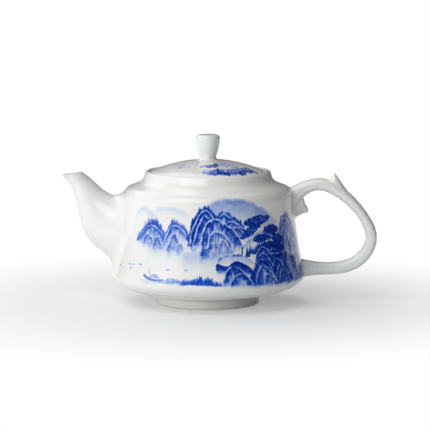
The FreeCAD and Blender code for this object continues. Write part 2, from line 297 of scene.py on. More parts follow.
def welded(shape):
    """Closes seams and poles and turns the faces outwards."""
    bmesh.ops.remove_doubles(shape, verts=shape.verts[:], dist=WELD)
    bmesh.ops.recalc_face_normals(shape, faces=shape.faces[:])
    return shape


def mesh_of(name, shape):
    """A shape as a mesh. The shape itself is let go."""
    mesh = bpy.data.meshes.new(name)
    shape.to_mesh(mesh)
    shape.free()
    return mesh


def together(*shapes):
    """Several shapes as one, their seams left open."""
    whole = bmesh.new()
    for shape in shapes:
        mesh = mesh_of("shape", shape)
        whole.from_mesh(mesh)
        bpy.data.meshes.remove(mesh)
    return whole


def linked(name, data):
    """A new object in the scene."""
    made = bpy.data.objects.new(name, data)
    bpy.context.scene.collection.objects.link(made)
    return made


def modified(made):
    """The mesh that an object's modifiers give."""
    return bpy.data.meshes.new_from_object(made.evaluated_get(bpy.context.evaluated_depsgraph_get()))


def smooth_curve(points, count):
    """Evenly stepped points on the cubic curve through a few points, and its directions there."""
    points = np.array(points, float)
    gaps = np.linalg.norm(np.diff(points, axis=0), axis=1)
    places = np.concatenate([[0.0], np.cumsum(gaps)])
    last = len(points) - 1
    system = np.zeros((last + 1, last + 1))
    target = np.zeros_like(points)
    system[0, :3] = gaps[1], -gaps[0] - gaps[1], gaps[0]
    system[last, -3:] = gaps[-1], -gaps[-1] - gaps[-2], gaps[-2]
    for row in range(1, last):
        system[row, row - 1:row + 2] = gaps[row - 1], 2 * (gaps[row - 1] + gaps[row]), gaps[row]
        target[row] = 6 * ((points[row + 1] - points[row]) / gaps[row]
                           - (points[row] - points[row - 1]) / gaps[row - 1])
    bend = np.linalg.solve(system, target)
    wanted = np.linspace(0.0, places[-1], count)
    span = np.clip(np.searchsorted(places, wanted, side="right") - 1, 0, last - 1)
    gap = gaps[span][:, None]
    after = (wanted - places[span])[:, None]
    before = gap - after
    here, there = points[span], points[span + 1]
    bend_here, bend_there = bend[span], bend[span + 1]
    start = here / gap - bend_here * gap / 6
    end = there / gap - bend_there * gap / 6
    line = (bend_here * before**3 + bend_there * after**3) / (6 * gap) + start * before + end * after
    slope = (bend_there * after**2 - bend_here * before**2) / (2 * gap) - start + end
    return line, slope / np.linalg.norm(slope, axis=1)[:, None]


def oval(centre, along, half_length, half_width, squareness=2.0, count=48):
    """Points of a closed section whose length runs along a direction and whose width runs across."""
    turns = np.linspace(0.0, 2 * math.pi, count, endpoint=False)
    swell = (np.abs(np.cos(turns))**squareness + np.abs(np.sin(turns))**squareness)**(-1 / squareness)
    lengthwise = np.outer(np.cos(turns) * swell * half_length, np.array(along))
    crosswise = np.outer(np.sin(turns) * swell * half_width, np.array(ACROSS))
    return np.array(centre) + lengthwise + crosswise


def bridged(rows, capped=False, looped=False):
    """A skin over rings of points, each ring bridged to the next."""
    skin = bmesh.new()
    rings = []
    for row in rows:
        ring = bmesh.ops.create_circle(skin, segments=len(row), radius=MM)["verts"]
        for vert, point in zip(ring, row):
            vert.co = point
        rings.append(ring)
    edges = [list({edge for vert in ring for edge in vert.link_edges}) for ring in rings]
    pairs = list(zip(edges, edges[1:]))
    if looped:
        pairs.append((edges[-1], edges[0]))
    for first, second in pairs:
        bmesh.ops.bridge_loops(skin, edges=first + second)
    if capped:
        for ring in (rings[0], rings[-1]):
            bmesh.ops.contextual_create(skin, geom=ring)
    bmesh.ops.recalc_face_normals(skin, faces=skin.faces[:])
    return skin


def piece(name, shape, body, nodes, finish):
    """A finished piece that rides on a body and stands for CAD nodes."""
    mesh = mesh_of(name, shape)
    mesh.polygons.foreach_set("use_smooth", [True] * len(mesh.polygons))
    mesh.materials.append(finish)
    made = linked(name, mesh)
    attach(made, body)
    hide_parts(*nodes)
    return made


def surface_of(name):
    """A search tree over a piece that is already made."""
    shape = bmesh.new()
    shape.from_mesh(bpy.data.objects[name].data)
    tree = BVHTree.FromBMesh(shape)
    shape.free()
    return tree


def clearance(tree, point):
    """Distance of a point outside a surface, less than 0 inside it, with the nearest place and its normal."""
    place, normal, _, distance = tree.find_nearest(point)
    if (Vector(point) - place).dot(normal) < 0:
        distance = -distance
    return distance, place, normal


def eased(low, high, value):
    """0 at low, 1 at high and a smooth step between."""
    share = np.clip((value - low) / (high - low), 0.0, 1.0)
    return share * share * (3 - 2 * share)


def grain(across, along, seed):
    """Smooth noise from 0 to 1 on a unit lattice."""
    column, row = np.floor(across), np.floor(along)

    def corner(step_across, step_along):
        """The lattice's own value at a corner, scattered by large odd factors."""
        turn = (column + step_across) * 127.1 + (row + step_along) * 311.7 + seed * 74.7
        mix = np.sin(turn) * 43758.5453
        return mix - np.floor(mix)

    near, far = eased(0.0, 1.0, across - column), eased(0.0, 1.0, along - row)
    low = corner(0, 0) + (corner(1, 0) - corner(0, 0)) * near
    high = corner(0, 1) + (corner(1, 1) - corner(0, 1)) * near
    return low + (high - low) * far


def wavering(run, step, seed):
    """Smooth noise from 0 to 1 along a line, a step of it at a time."""
    return grain(run / step, run * 0, seed)


def hatching(across, along, seed, fine_seed):
    """Brush strokes side by side with finer ones among them, from 0 to 1."""
    gap, stroke = 0.7, 3.5
    fine_gap, fine_stroke, fine_share = 0.37, 1.8, 0.6
    broad = grain(across / gap, along / stroke, seed)
    fine = grain(across / fine_gap, along / fine_stroke, fine_seed)
    return (broad + fine_share * fine) / (1 + fine_share)


def bowed_line(points, count):
    """A line through two points, or one that bows towards the middle one of three."""
    start, end = np.array(points[0], float), np.array(points[-1], float)
    middle = np.array(points[1], float) if len(points) == 3 else (start + end) / 2
    share = np.linspace(0.0, 1.0, count)[:, None]
    return start * (1 - share)**2 + 2 * middle * share * (1 - share) + end * share**2


def ridge_line(points, seed):
    """A ridge in a slightly unsteady brush line; a foot, top and foot make a loaf-shaped one."""
    if len(points) == 3:
        top = points[1]
        roundness = 2.2
        sides = [[(top[0] + (foot[0] - top[0]) * share,
                   foot[1] + (top[1] - foot[1]) * (1 - share**roundness))
                  for share in (1.0, 0.88, 0.66, 0.36)] for foot in (points[0], points[2])]
        points = sides[0] + [top] + sides[1][::-1]
    line = smooth_curve(points, 160)[0]
    run = np.concatenate([[0.0], np.cumsum(np.hypot(*np.diff(line, axis=0).T))])
    for size, step, more in ((0.9, 3.1, 0), (0.4, 1.1, 1)):
        line[:, 1] += size * (wavering(run, step, seed + more) - 0.5)
    return line[np.argsort(line[:, 0])], run


class CobaltSheet:
    """A flat sheet of cobalt, in millimetres, that is painted back to front and then laid on the glaze."""

    def __init__(self, left, right, bottom, top, pitch=0.16):
        self.left, self.bottom, self.pitch = left, bottom, pitch
        self.across, self.height = np.meshgrid(np.arange(left, right, pitch), np.arange(bottom, top, pitch))
        self.ink = np.zeros_like(self.across)

    def part(self, left, right, bottom, top):
        """The window of the sheet between four edges, and the places in it."""
        rows, columns = self.ink.shape

        def steps(low, high, start, count):
            """The rows or columns between two edges."""
            return slice(int(np.clip((low - start) / self.pitch, 0, count)),
                         int(np.clip((high - start) / self.pitch + 1, 0, count)))

        window = steps(bottom, top, self.bottom, rows), steps(left, right, self.left, columns)
        return window, self.across[window], self.height[window]

    def darken(self, window, tone):
        """Lays a tone over a window, where it is darker than what is there."""
        self.ink[window] = np.maximum(self.ink[window], tone)

    def fold(self, points, tone, seed, reach=7.0, rim=0.6, hatch=0.75, mist=3.0, pale=0.1, body=0.34):
        """A rock or hill: a light edge, dark strokes that run in from it, and a foot that fades into mist.

        The cobalt falls from tone at the edge to body times tone over the reach. The strokes leave hatch of
        it out, the light edge is rim wide and pale dark, and mist is the depth of the fading foot.
        """
        line, run = ridge_line(points, seed)
        low = min(points[0][1], points[-1][1]) - 1.5 * mist
        window, across, height = self.part(line[0, 0], line[-1, 0], low, line[:, 1].max())
        steps = [np.hypot(across - x, height - y) for x, y in line[::2]]
        deep, place = np.min(steps, axis=0), run[::2][np.argmin(steps, axis=0)]

        under = np.interp(across, line[:, 0], line[:, 1]) - height
        share = (across - line[0, 0]) / (line[-1, 0] - line[0, 0])
        foot = points[0][1] + (points[-1][1] - points[0][1]) * share
        cloud = (grain(across / 3.5, height / 2.0, seed + 7) - 0.5) * mist
        ends = np.minimum(across - line[0, 0], line[-1, 0] - across) + np.clip(height - foot, 0.0, None)
        cover = eased(0.0, 0.3, under) * eased(0.0, 0.8 * mist, ends)
        cover = cover * eased(-mist, mist, height - foot + cloud)

        inward = hatching(place, deep, seed, seed + 1)
        falling = hatching(across, height, seed + 2, seed + 5)
        strokes = inward + (falling - inward) * eased(1.0, 4.0, deep)
        fading = np.exp(-np.clip(deep - rim - 0.6, 0.0, None) / (0.4 * reach))
        depth = tone * (body + (1 - body) * fading)
        depth = depth * (1 - hatch * eased(0.2, 3.5, deep) * eased(0.4, 0.72, strokes))
        depth = depth + 0.2 * tone * eased(0.45, 0.2, strokes)

        edge = rim * (0.5 + wavering(place, 1.9, seed + 3))
        light = 1 - eased(0.7 * edge, 1.6 * edge, deep)
        light = light * (0.72 + 0.28 * wavering(place, 0.9, seed + 4))
        self.ink[window] += (depth + (pale - depth) * light - self.ink[window]) * cover

    def wash(self, points, tone, seed, reach):
        """A far hill: a soft wash of thinned cobalt that fades downwards and at its ends."""
        line, _ = ridge_line(points, seed)
        left, right = line[0, 0], line[-1, 0]
        window, across, height = self.part(left, right, line[:, 1].min() - 3 * reach, line[:, 1].max() + 1)
        under = np.interp(across, line[:, 0], line[:, 1]) - height
        fade = 0.25 * (right - left)
        ends = eased(0.0, fade, across - left) * eased(0.0, fade, right - across)
        cloud = 0.75 + 0.4 * grain(across / 4.0, height / 2.0, seed)
        cloud = cloud + 0.15 * grain(across / 1.2, height / 0.7, seed + 1)
        cover = ends * eased(-0.8, 1.8, under) * np.exp(-(np.clip(under, 0.0, None) / reach)**2)
        self.darken(window, tone * cover * cloud)

    def dab(self, across, height, half_width, half_height, lean, tone):
        """One touch of a full brush."""
        margin = 0.4
        size = max(half_width, half_height) + margin
        window, columns, rows = self.part(across - size, across + size, height - size, height + size)
        off, up = columns - across, rows - height
        along = (off * math.cos(lean) + up * math.sin(lean)) / half_width
        over = (up * math.cos(lean) - off * math.sin(lean)) / half_height
        self.darken(window, tone * (1 - eased(0.6, 1.3, along**2 + over**2)))

    def firs(self, points, tone, seed, start=0.0, end=1.0, spacing=0.4, tall=2.4):
        """A fringe of small firs that stand along a ridge, from a start to an end share of it."""
        line, run = ridge_line(points, seed)
        chance = np.random.default_rng(seed)
        sunk, room = 0.9, 1.3
        for place in np.arange(start * run[-1], end * run[-1], spacing):
            root = np.interp(place, run, line[:, 0]) + chance.normal(0.0, 0.3)
            ground = np.interp(place, run, line[:, 1]) - sunk
            size = sunk + tall * (0.25 + 0.75 * chance.random()**1.8)
            window, across, height = self.part(root - room, root + room, ground, ground + size)
            up = (height - ground) / size
            twigs = 0.45 + 1.1 * grain(height / 0.34, height * 0 + place, seed + 5)
            width = (0.16 + 0.2 * size) * (1 - up) * twigs
            cover = eased(0.16, -0.1, np.abs(across - root) - width)
            self.darken(window, tone * chance.uniform(0.7, 1.05) * cover)

    def foliage(self, across, height, half_width, half_height, lean, tone, seed, thick=12):
        """A pine's cloud of needles, touched in dab by dab."""
        chance = np.random.default_rng(seed)
        for _ in range(int(thick * half_width * half_height)):
            turn, away = chance.uniform(0, 2 * math.pi), math.sqrt(chance.random())
            along, over = away * math.cos(turn) * half_width, away * math.sin(turn) * half_height
            self.dab(across + along * math.cos(lean) - over * math.sin(lean),
                     height + along * math.sin(lean) + over * math.cos(lean),
                     chance.uniform(0.35, 0.85), chance.uniform(0.22, 0.42),
                     lean + chance.normal(0, 0.5), tone * chance.uniform(0.7, 1.05))

    def stroke(self, points, width, tone, taper=0.5):
        """A line drawn with the tip of the brush, thinner towards its end."""
        touches, finest = 60, 0.13
        for share, (across, height) in zip(np.linspace(0, 1, touches), bowed_line(points, touches)):
            size = max(width / 2 * (1 - taper * share), finest)
            self.dab(across, height, size, size, 0.0, tone)

    def read(self, across, height):
        """The cobalt at some places of the sheet."""
        rows, columns = self.ink.shape
        column = np.clip((across - self.left) / self.pitch, 0, columns - 1.001)
        row = np.clip((height - self.bottom) / self.pitch, 0, rows - 1.001)
        left, low = column.astype(int), row.astype(int)
        right_share, high_share = column - left, row - low
        bottom = self.ink[low, left] * (1 - right_share) + self.ink[low, left + 1] * right_share
        top = self.ink[low + 1, left] * (1 - right_share) + self.ink[low + 1, left + 1] * right_share
        return bottom * (1 - high_share) + top * high_share


def far_hills(sheet):
    """Pale ranges in the mist."""
    sheet.wash([(-47, 48.5), (-38, 54.6), (-28, 49)], 0.16, 1, 3.4)
    sheet.wash([(-34, 52), (-22, 55.8), (-8, 50.5)], 0.14, 2, 2.6)
    sheet.wash([(-8, 50), (8, 59.6), (19, 59.4), (31, 55.0), (44, 47)], 0.4, 3, 8.0)
    sheet.wash([(12, 52), (24, 56.5), (38, 49.5)], 0.4, 4, 4.0)
    sheet.wash([(-16, 31), (-5, 34), (8, 30)], 0.2, 5, 6.0)
    sheet.wash([(-36, 35), (-26, 37), (-14, 34)], 0.14, 6, 5.0)


def left_hills(sheet):
    """The two wooded hills towards the spout."""
    outer = [(-42.5, 37.5), (-37.5, 42.6), (-31.8, 46.2), (-26, 43.0), (-22.5, 37.0)]
    inner = [(-25.5, 34.5), (-22.0, 43.0), (-18.0, 46.6), (-13.0, 44.0), (-10.5, 40.5)]
    sheet.firs(outer, 0.62, 11, 0.02, 0.95, 0.24, 3.0)
    sheet.firs(outer, 0.7, 12, 0.3, 0.75, 0.4, 4.2)
    sheet.fold(outer, 0.7, 13, 6.0, mist=4.0)
    sheet.fold([(-38.5, 35.5), (-34.5, 41.2), (-29.0, 36.0)], 0.62, 14, 5.0, mist=3.0)
    sheet.fold([(-31.5, 33.5), (-28.2, 40.6), (-23.5, 34.5)], 0.6, 15, 5.0, mist=3.0)
    sheet.firs(inner, 0.6, 16, 0.15, 1.0, 0.24, 3.0)
    sheet.firs(inner, 0.7, 17, 0.45, 1.0, 0.3, 3.6)
    sheet.fold(inner, 0.68, 18, 7.0, mist=4.5)
    sheet.fold([(-22.5, 32.0), (-18.2, 42.2), (-13.2, 33.5)], 0.66, 19, 6.0, mist=4.0)
    sheet.fold([(-17.5, 31.5), (-14.8, 37.6), (-11.8, 33.0)], 0.5, 20, 5.0, mist=4.0)


def great_peak(sheet):
    """The high peak in the middle, with folds before it and threads of water beside it."""
    crest = [(-9.6, 33.0), (-8.6, 44.0), (-5.6, 50.6), (-1.2, 54.6), (2.6, 51.6), (6.5, 49.0)]
    spur = [(2.0, 46.5), (5.0, 50.6), (8.5, 52.6), (13.0, 50.2), (18.0, 46.5), (22.5, 39.5)]
    arch = [(-5.0, 28.5), (-3.4, 42.0), (-0.4, 48.0), (3.4, 50.2), (9.0, 47.8), (14.5, 43.5), (18.5, 36.5)]
    brow = [(-0.6, 32.0), (0.8, 41.2), (3.8, 44.6), (7.6, 43.0), (11.5, 38.8), (14.5, 32.0)]
    sheet.firs(spur, 0.9, 30, 0.1, 0.8, 0.28, 2.4)
    sheet.fold(spur, 0.95, 31, 4.0, mist=3.0, body=0.6)
    sheet.fold([(8.0, 43.5), (12.0, 48.6), (20.0, 41.5)], 0.9, 32, 3.5, mist=3.0, body=0.5)
    sheet.fold([(11.0, 41.5), (15.0, 45.6), (21.0, 39.5)], 0.8, 33, 3.5, mist=3.0, body=0.5)
    sheet.firs(crest, 0.92, 34, 0.12, 1.0, 0.22, 2.6)
    sheet.firs(crest, 1.0, 35, 0.38, 0.8, 0.4, 4.2)
    sheet.fold(crest, 1.0, 36, 12.0, hatch=0.5, mist=4.0, body=0.5)
    sheet.fold([(-8.0, 34.0), (-5.6, 46.0), (-1.6, 51.6), (2.8, 48.5)], 1.0, 37, 10.0,
               hatch=0.55, mist=4.0, body=0.5)
    sheet.fold(arch, 1.0, 38, 9.0, rim=0.95, hatch=0.65, mist=4.0)
    sheet.fold(brow, 0.8, 39, 7.0, rim=0.85, mist=5.0)
    sheet.fold([(4.2, 31.0), (7.6, 39.8), (12.6, 32.0)], 0.58, 40, 6.0, mist=5.0)
    for across, top, bottom in ((-12.4, 41.5, 33.5), (-11.6, 42.0, 31.0), (-10.6, 41.0, 32.0)):
        fall = [(across + 1.4, top), (across + 0.2, (top + bottom) / 2), (across, bottom)]
        sheet.stroke(fall, 0.3, 0.34, 0.3)


def wooded_slopes(sheet):
    """The hill towards the handle, and the dark woods between it and the peak."""
    hill = [(40.0, 33.0), (44.5, 43.0), (49.5, 48.6), (55.0, 46.0), (61.0, 40.0), (68.5, 31.0)]
    sheet.firs(hill, 0.95, 50, 0.1, 0.9, 0.3, 2.4)
    sheet.firs(hill, 1.0, 51, 0.3, 0.6, 0.6, 3.6)
    sheet.fold(hill, 0.95, 52, 10.0, mist=5.0, body=0.5)
    sheet.fold([(43.0, 30.0), (48.0, 43.6), (54.0, 32.0)], 0.85, 53, 7.0, mist=4.0, body=0.5)
    sheet.fold([(51.0, 29.0), (57.0, 41.0), (64.5, 28.0)], 0.85, 54, 7.0, mist=4.0, body=0.5)
    sheet.foliage(28.0, 48.2, 8.6, 2.3, 0.14, 1.0, 55, thick=16)
    sheet.foliage(24.0, 43.4, 7.4, 2.0, 0.5, 0.95, 56, thick=16)
    sheet.fold([(18.0, 35.0), (25.5, 41.8), (32.5, 43.0), (37.5, 38.0)], 0.42, 57, 4.0, rim=0.9, mist=3.0)


def pines(sheet):
    """The pines on the rocks, each a trunk under clouds of needles."""
    sheet.stroke([(34.0, 27.0), (34.6, 36.0), (36.8, 42.0)], 1.0, 1.0, 0.4)
    sheet.stroke([(39.5, 26.0), (38.0, 33.0), (40.5, 38.5)], 0.9, 1.0, 0.4)
    sheet.foliage(38.5, 32.0, 6.5, 4.5, 0.0, 0.8, 59, thick=9)
    for index, (across, height, half_width, half_height, lean) in enumerate([
            (37.2, 43.0, 5.4, 2.4, -0.05), (30.4, 39.2, 5.4, 2.0, 0.1), (41.2, 38.2, 4.6, 2.3, -0.25),
            (35.6, 35.4, 4.8, 1.6, 0.0), (42.5, 33.4, 4.2, 2.0, -0.2), (39.0, 30.0, 4.4, 2.0, 0.0)]):
        sheet.foliage(across, height, half_width, half_height, lean, 1.05, 60 + index, thick=16)
    sheet.stroke([(17.2, 30.0), (19.4, 35.0), (16.4, 39.0)], 0.8, 0.95, 0.5)
    sheet.stroke([(18.4, 34.5), (20.2, 36.4)], 0.5, 0.9, 0.5)
    sheet.firs([(20.6, 31.6), (22.4, 32.4), (24.0, 32.4), (26.0, 31.6)], 0.95, 68, 0.0, 1.0, 0.35, 4.0)
    sheet.firs([(26.0, 33.6), (29.0, 35.6), (32.0, 35.6), (34.0, 34.0)], 0.9, 69, 0.0, 1.0, 0.3, 2.4)


def rocks(sheet):
    """The dark heap of rocks under the pines."""
    mass = [(19.0, 15.5), (25.0, 26.0), (34.0, 31.0), (46.0, 30.5), (58.0, 27.0), (72.0, 15.0)]
    sheet.fold(mass, 1.0, 70, 30.0, hatch=0.4, mist=1.5, body=0.8)
    heaps = [
        ([(42.5, 17.0), (46.8, 31.6), (56.0, 18.0)], 1.0, 6.0),
        ([(52.0, 16.5), (59.0, 29.6), (70.0, 16.0)], 0.95, 6.0),
        ([(23.5, 23.0), (30.0, 34.6), (39.0, 22.0)], 1.0, 5.0),
        ([(22.6, 21.5), (29.6, 31.8), (38.0, 20.5)], 1.0, 5.0),
        ([(22.0, 19.5), (28.6, 29.0), (37.0, 18.5)], 1.0, 5.0),
        ([(35.0, 20.0), (38.6, 28.8), (46.0, 19.0)], 1.05, 6.0),
        ([(37.0, 16.5), (40.8, 25.2), (49.0, 16.0)], 1.0, 5.0),
        ([(38.5, 16.0), (41.6, 22.4), (48.0, 15.6)], 0.9, 5.0),
        ([(46.5, 16.5), (51.6, 24.4), (60.0, 16.0)], 0.95, 5.0),
        ([(57.5, 16.0), (62.4, 23.0), (71.0, 15.5)], 0.9, 5.0),
    ]
    for index, (points, tone, reach) in enumerate(heaps):
        sheet.fold(points, tone, 71 + index, reach, rim=0.5, hatch=0.6, mist=1.5, pale=0.22, body=0.66)


def spit(sheet):
    """The flat-topped spit that runs out over the water."""
    top = [(4.5, 27.4), (8.5, 30.6), (14.0, 31.2), (19.5, 30.4), (24.5, 26.5)]
    cliff = [(4.2, 23.5), (5.4, 27.2), (9.5, 25.9), (13.5, 27.8), (19.0, 26.8), (24.0, 21.5)]
    sheet.firs(top, 0.9, 82, 0.08, 0.6, 0.35, 1.4)
    sheet.fold(top, 0.24, 83, 3.0, rim=0.16, hatch=0.1, mist=0.6, pale=1.0)
    sheet.fold(cliff, 1.0, 84, 9.0, rim=0.1, hatch=0.4, mist=1.4, body=0.8)
    heaps = [
        ([(6.6, 17.0), (12.6, 26.0), (22.5, 17.0)], 1.0, 6.0, 0.7),
        ([(24.0, 16.5), (28.8, 25.6), (38.0, 16.0)], 0.85, 5.0, 0.5),
        ([(10.5, 16.0), (15.6, 22.4), (24.0, 15.8)], 0.9, 5.0, 0.6),
        ([(28.5, 15.8), (31.8, 21.0), (38.5, 15.5)], 0.8, 5.0, 0.5),
    ]
    for index, (points, tone, reach, body) in enumerate(heaps):
        sheet.fold(points, tone, 85 + index, reach, rim=0.6, hatch=0.6, mist=1.4, pale=0.2, body=body)


def waterside(sheet):
    """The reeds along the water, the boats and the birds."""
    bank = [(-12.5, 17.4), (-5.0, 18.2), (1.0, 17.8), (6.0, 16.8)]
    sheet.firs(bank, 0.66, 100, 0.0, 1.0, 0.22, 2.2)
    sheet.firs(bank, 0.76, 101, 0.25, 0.8, 0.4, 3.6)
    sheet.foliage(-3.5, 17.4, 8.8, 0.8, -0.03, 0.66, 102)
    sheet.foliage(-20.0, 17.5, 9.5, 0.6, -0.02, 0.34, 103, thick=7)
    sheet.firs([(-20.5, 17.6), (-18.0, 18.4), (-15.0, 18.4), (-12.5, 17.6)], 0.45, 104, 0.0, 1.0, 0.3, 1.4)
    sheet.stroke([(-33.8, 20.0), (-29.0, 17.0), (-23.0, 18.6)], 1.3, 0.55, 0.5)
    sheet.stroke([(-30.6, 18.8), (-27.6, 23.0), (-24.8, 18.8)], 0.55, 0.42, 0.1)
    sheet.stroke([(-31.4, 23.8), (-29.4, 18.6)], 0.3, 0.42, 0.2)
    sheet.foliage(-27.6, 19.8, 2.0, 0.9, 0.0, 0.34, 106, thick=9)
    sheet.stroke([(-21.6, 18.2), (-18.4, 20.6), (-15.0, 18.2)], 0.5, 0.36, 0.1)
    sheet.foliage(-18.3, 18.7, 2.2, 0.6, 0.0, 0.3, 107, thick=8)
    sheet.wash([(-38, 17.0), (-24, 18.5), (-8, 17.0)], 0.2, 105, 1.8)
    flock = ((-55.5, 22.6), (-46.0, 24.3), (-43.0, 24.4), (-44.6, 22.6), (-37.5, 25.0), (-20.5, 23.6),
             (-11.0, 23.8))
    for across, height in flock:
        sheet.dab(across - 0.35, height + 0.1, 0.55, 0.24, -0.4, 0.6)
        sheet.dab(across + 0.35, height + 0.12, 0.55, 0.24, 0.5, 0.62)


def landscape():
    """The side's landscape, back to front: across from the middle of the front, and up from the table."""
    sheet = CobaltSheet(-66.0, 82.0, 13.0, 61.5)
    for layer in (far_hills, left_hills, great_peak, wooded_slopes, pines, rocks, spit, waterside):
        layer(sheet)
    return sheet


def hilltop():
    """The lid's small hill with its wood, in plan, stippled with touches that run towards the knob."""
    sheet = CobaltSheet(-24.0, 32.0, -31.0, -3.0)
    inward = math.pi / 2
    clouds = [
        (10.0, -12.4, 4.2, 5.4, 0.36, 4), (14.0, -16.5, 3.0, 5.0, 0.34, 3), (-1.0, -17.4, 2.2, 3.4, 0.55, 7),
        (1.6, -16.4, 2.4, 2.4, 0.75, 8), (4.0, -15.2, 3.4, 1.5, 1.0, 13), (0.6, -24.4, 3.0, 3.8, 0.46, 4),
        (6.5, -21.6, 2.2, 2.0, 0.6, 6), (24.4, -13.6, 1.6, 2.2, 0.6, 5),
    ]
    for index, (across, height, deep, wide, tone, thick) in enumerate(clouds):
        sheet.foliage(across, height, deep, wide, inward, tone, 120 + index, thick)
    for step in range(10):
        turn = math.radians(-84 + 6 * step)
        for away, deep, wide, tone, seed in ((24.2, 3.2, 2.2, 0.62, 130), (26.6, 1.8, 1.9, 0.86, 140)):
            sheet.foliage(away * math.cos(turn), away * math.sin(turn), deep, wide, inward, tone, seed + step,
                          thick=5)
    for across, height, wide in ((6.4, -25.2, 2.2), (10.0, -25.0, 2.0), (17.6, -21.4, 2.0)):
        sheet.foliage(across, height, 1.8, wide, inward, 1.05, 150 + int(across), thick=9)
    sheet.stroke([(5.0, -19.8), (5.0, -24.6)], 0.9, 0.95, 0.2)
    sheet.foliage(-13.2, -13.0, 3.6, 2.6, inward, 0.26, 160, thick=4)
    sheet.foliage(-16.5, -10.5, 3.0, 3.0, inward, 0.12, 161, thick=4)
    return sheet


def painted_on(made, sheet, places):
    """Lays a sheet of cobalt on a piece. Each vertex has its place on the sheet, or none."""
    ink = np.zeros(len(made.data.vertices))
    reached = ~np.isnan(places[:, 0])
    ink[reached] = sheet.read(places[reached, 0], places[reached, 1])
    layer = made.data.attributes.new("cobalt", "FLOAT", "POINT")
    layer.data.foreach_set("value", ink)


def vertex_places(made):
    """The vertices of a piece in millimetres."""
    places = np.zeros(3 * len(made.data.vertices))
    made.data.vertices.foreach_get("co", places)
    return places.reshape(-1, 3) / MM


def node(tree, kind, sockets, **settings):
    """A shader node. Each socket named or counted is wired to another node's output or given a value."""
    made = tree.nodes.new("ShaderNode" + kind)
    for name, value in settings.items():
        setattr(made, name, value)
    for socket, value in sockets.items():
        if isinstance(value, bpy.types.NodeSocket):
            tree.links.new(value, made.inputs[socket])
        else:
            made.inputs[socket].default_value = value
    return made


def sum_of(tree, operation, first, second):
    """The output of a sum worked out on two sockets."""
    return node(tree, "Math", {0: first, 1: second}, operation=operation).outputs["Value"]


def spread(tree, value, **limits):
    """The output of a map range node: from_min and from_max become to_min and to_max, 0 and 1 if left out."""
    sockets = {name.replace("_", " ").title(): limit for name, limit in limits.items()}
    return node(tree, "MapRange", {"Value": value, **sockets}).outputs["Result"]


def blend(tree, share, first, second):
    """The output of a mix of two colours."""
    return node(tree, "Mix", {"Factor": share, "A": first, "B": second}, data_type="RGBA").outputs["Result"]


def cobalt_over(tree, ground):
    """Cobalt brushed over a ground colour, from thin washes to deep blue, with the pigment's fine grain."""
    finishes = bpy.context.scene.teapot_finishes
    thinnest = 0.22
    brushed = node(tree, "Attribute", {}, attribute_name="cobalt").outputs["Fac"]
    place = node(tree, "TexCoord", {}).outputs["Object"]
    speckle = node(tree, "TexNoise", {"Vector": place, "Scale": 1500.0, "Detail": 2.0}).outputs["Fac"]
    load = spread(tree, speckle, from_min=0.3, from_max=0.7, to_min=0.82, to_max=1.1)
    density = sum_of(tree, "MULTIPLY", brushed, load)
    blues = node(tree, "ValToRGB", {"Fac": density})
    stops = blues.color_ramp.elements
    stops[0].position, stops[0].color = thinnest, (*finishes.wash, 1.0)
    stops[1].position, stops[1].color = 1.0, (*finishes.deep_cobalt, 1.0)
    stops.new(0.6).color = (*finishes.mid_cobalt, 1.0)
    return blend(tree, spread(tree, density, from_max=thinnest), ground, blues.outputs["Color"])


def glaze_material(name, painted=False):
    """Clear glaze over white porcelain, with cobalt under it where the piece is painted."""
    finishes = bpy.context.scene.teapot_finishes
    material = bpy.data.materials.new(name)
    material.use_nodes = True
    tree = material.node_tree
    shader = tree.nodes["Principled BSDF"]
    shader.inputs["IOR"].default_value = 1.52
    shader.inputs["Roughness"].default_value = finishes.glaze_roughness
    place = node(tree, "TexCoord", {}).outputs["Object"]

    drift = node(tree, "TexNoise", {"Vector": place, "Scale": 24.0, "Detail": 3.0}).outputs["Fac"]
    thick = spread(tree, drift, from_min=0.35, from_max=0.85, to_max=0.35)
    colour = blend(tree, thick, (*finishes.glaze, 1.0), (*finishes.pooled_glaze, 1.0))
    if painted:
        colour = cobalt_over(tree, colour)
    tree.links.new(colour, shader.inputs["Base Color"])

    peel = node(tree, "TexNoise", {"Vector": place, "Scale": 420.0, "Detail": 2.0}).outputs["Fac"]
    ripple = node(tree, "Bump", {"Height": peel, "Strength": 0.05, "Distance": 0.2 * MM})
    tree.links.new(ripple.outputs["Normal"], shader.inputs["Normal"])
    return material


def foot_material(name):
    """The foot's glaze, wiped off where it stands on the kiln's shelf, so that the dry clay shows."""
    finishes = bpy.context.scene.teapot_finishes
    material = glaze_material(name)
    tree = material.node_tree
    shader = tree.nodes["Principled BSDF"]
    place = node(tree, "TexCoord", {}).outputs["Object"]
    height = node(tree, "SeparateXYZ", {"Vector": place}).outputs["Z"]
    bare = spread(tree, height, from_min=0.65 * MM, from_max=0.5 * MM)
    glaze = shader.inputs["Base Color"].links[0].from_socket
    colour = blend(tree, bare, glaze, (*finishes.biscuit, 1.0))
    tree.links.new(colour, shader.inputs["Base Color"])
    roughness = spread(tree, bare, to_min=finishes.glaze_roughness, to_max=finishes.biscuit_roughness)
    tree.links.new(roughness, shader.inputs["Roughness"])
    return material


# Of the bowl's points outside and inside, the wall takes those from here on.
WALL_STARTS = (12, 6)
# The base takes those before here, so that the two overlap.
BASE_ENDS = (14, 8)


def bowl_outlines(pot):
    """Points of the bowl under the belly line, outside and inside, from the middle outwards."""
    belly = pot.foot_height + pot.bowl_depth
    reach = pot.belly_radius - pot.bowl_flat_radius
    outside = bowl_curve(pot.bowl_flat_radius, belly, reach, pot.bowl_depth, 20)
    inside = bowl_curve(pot.bowl_flat_radius, belly, reach - pot.wall, pot.bowl_depth - pot.wall, 10)
    return outside, inside


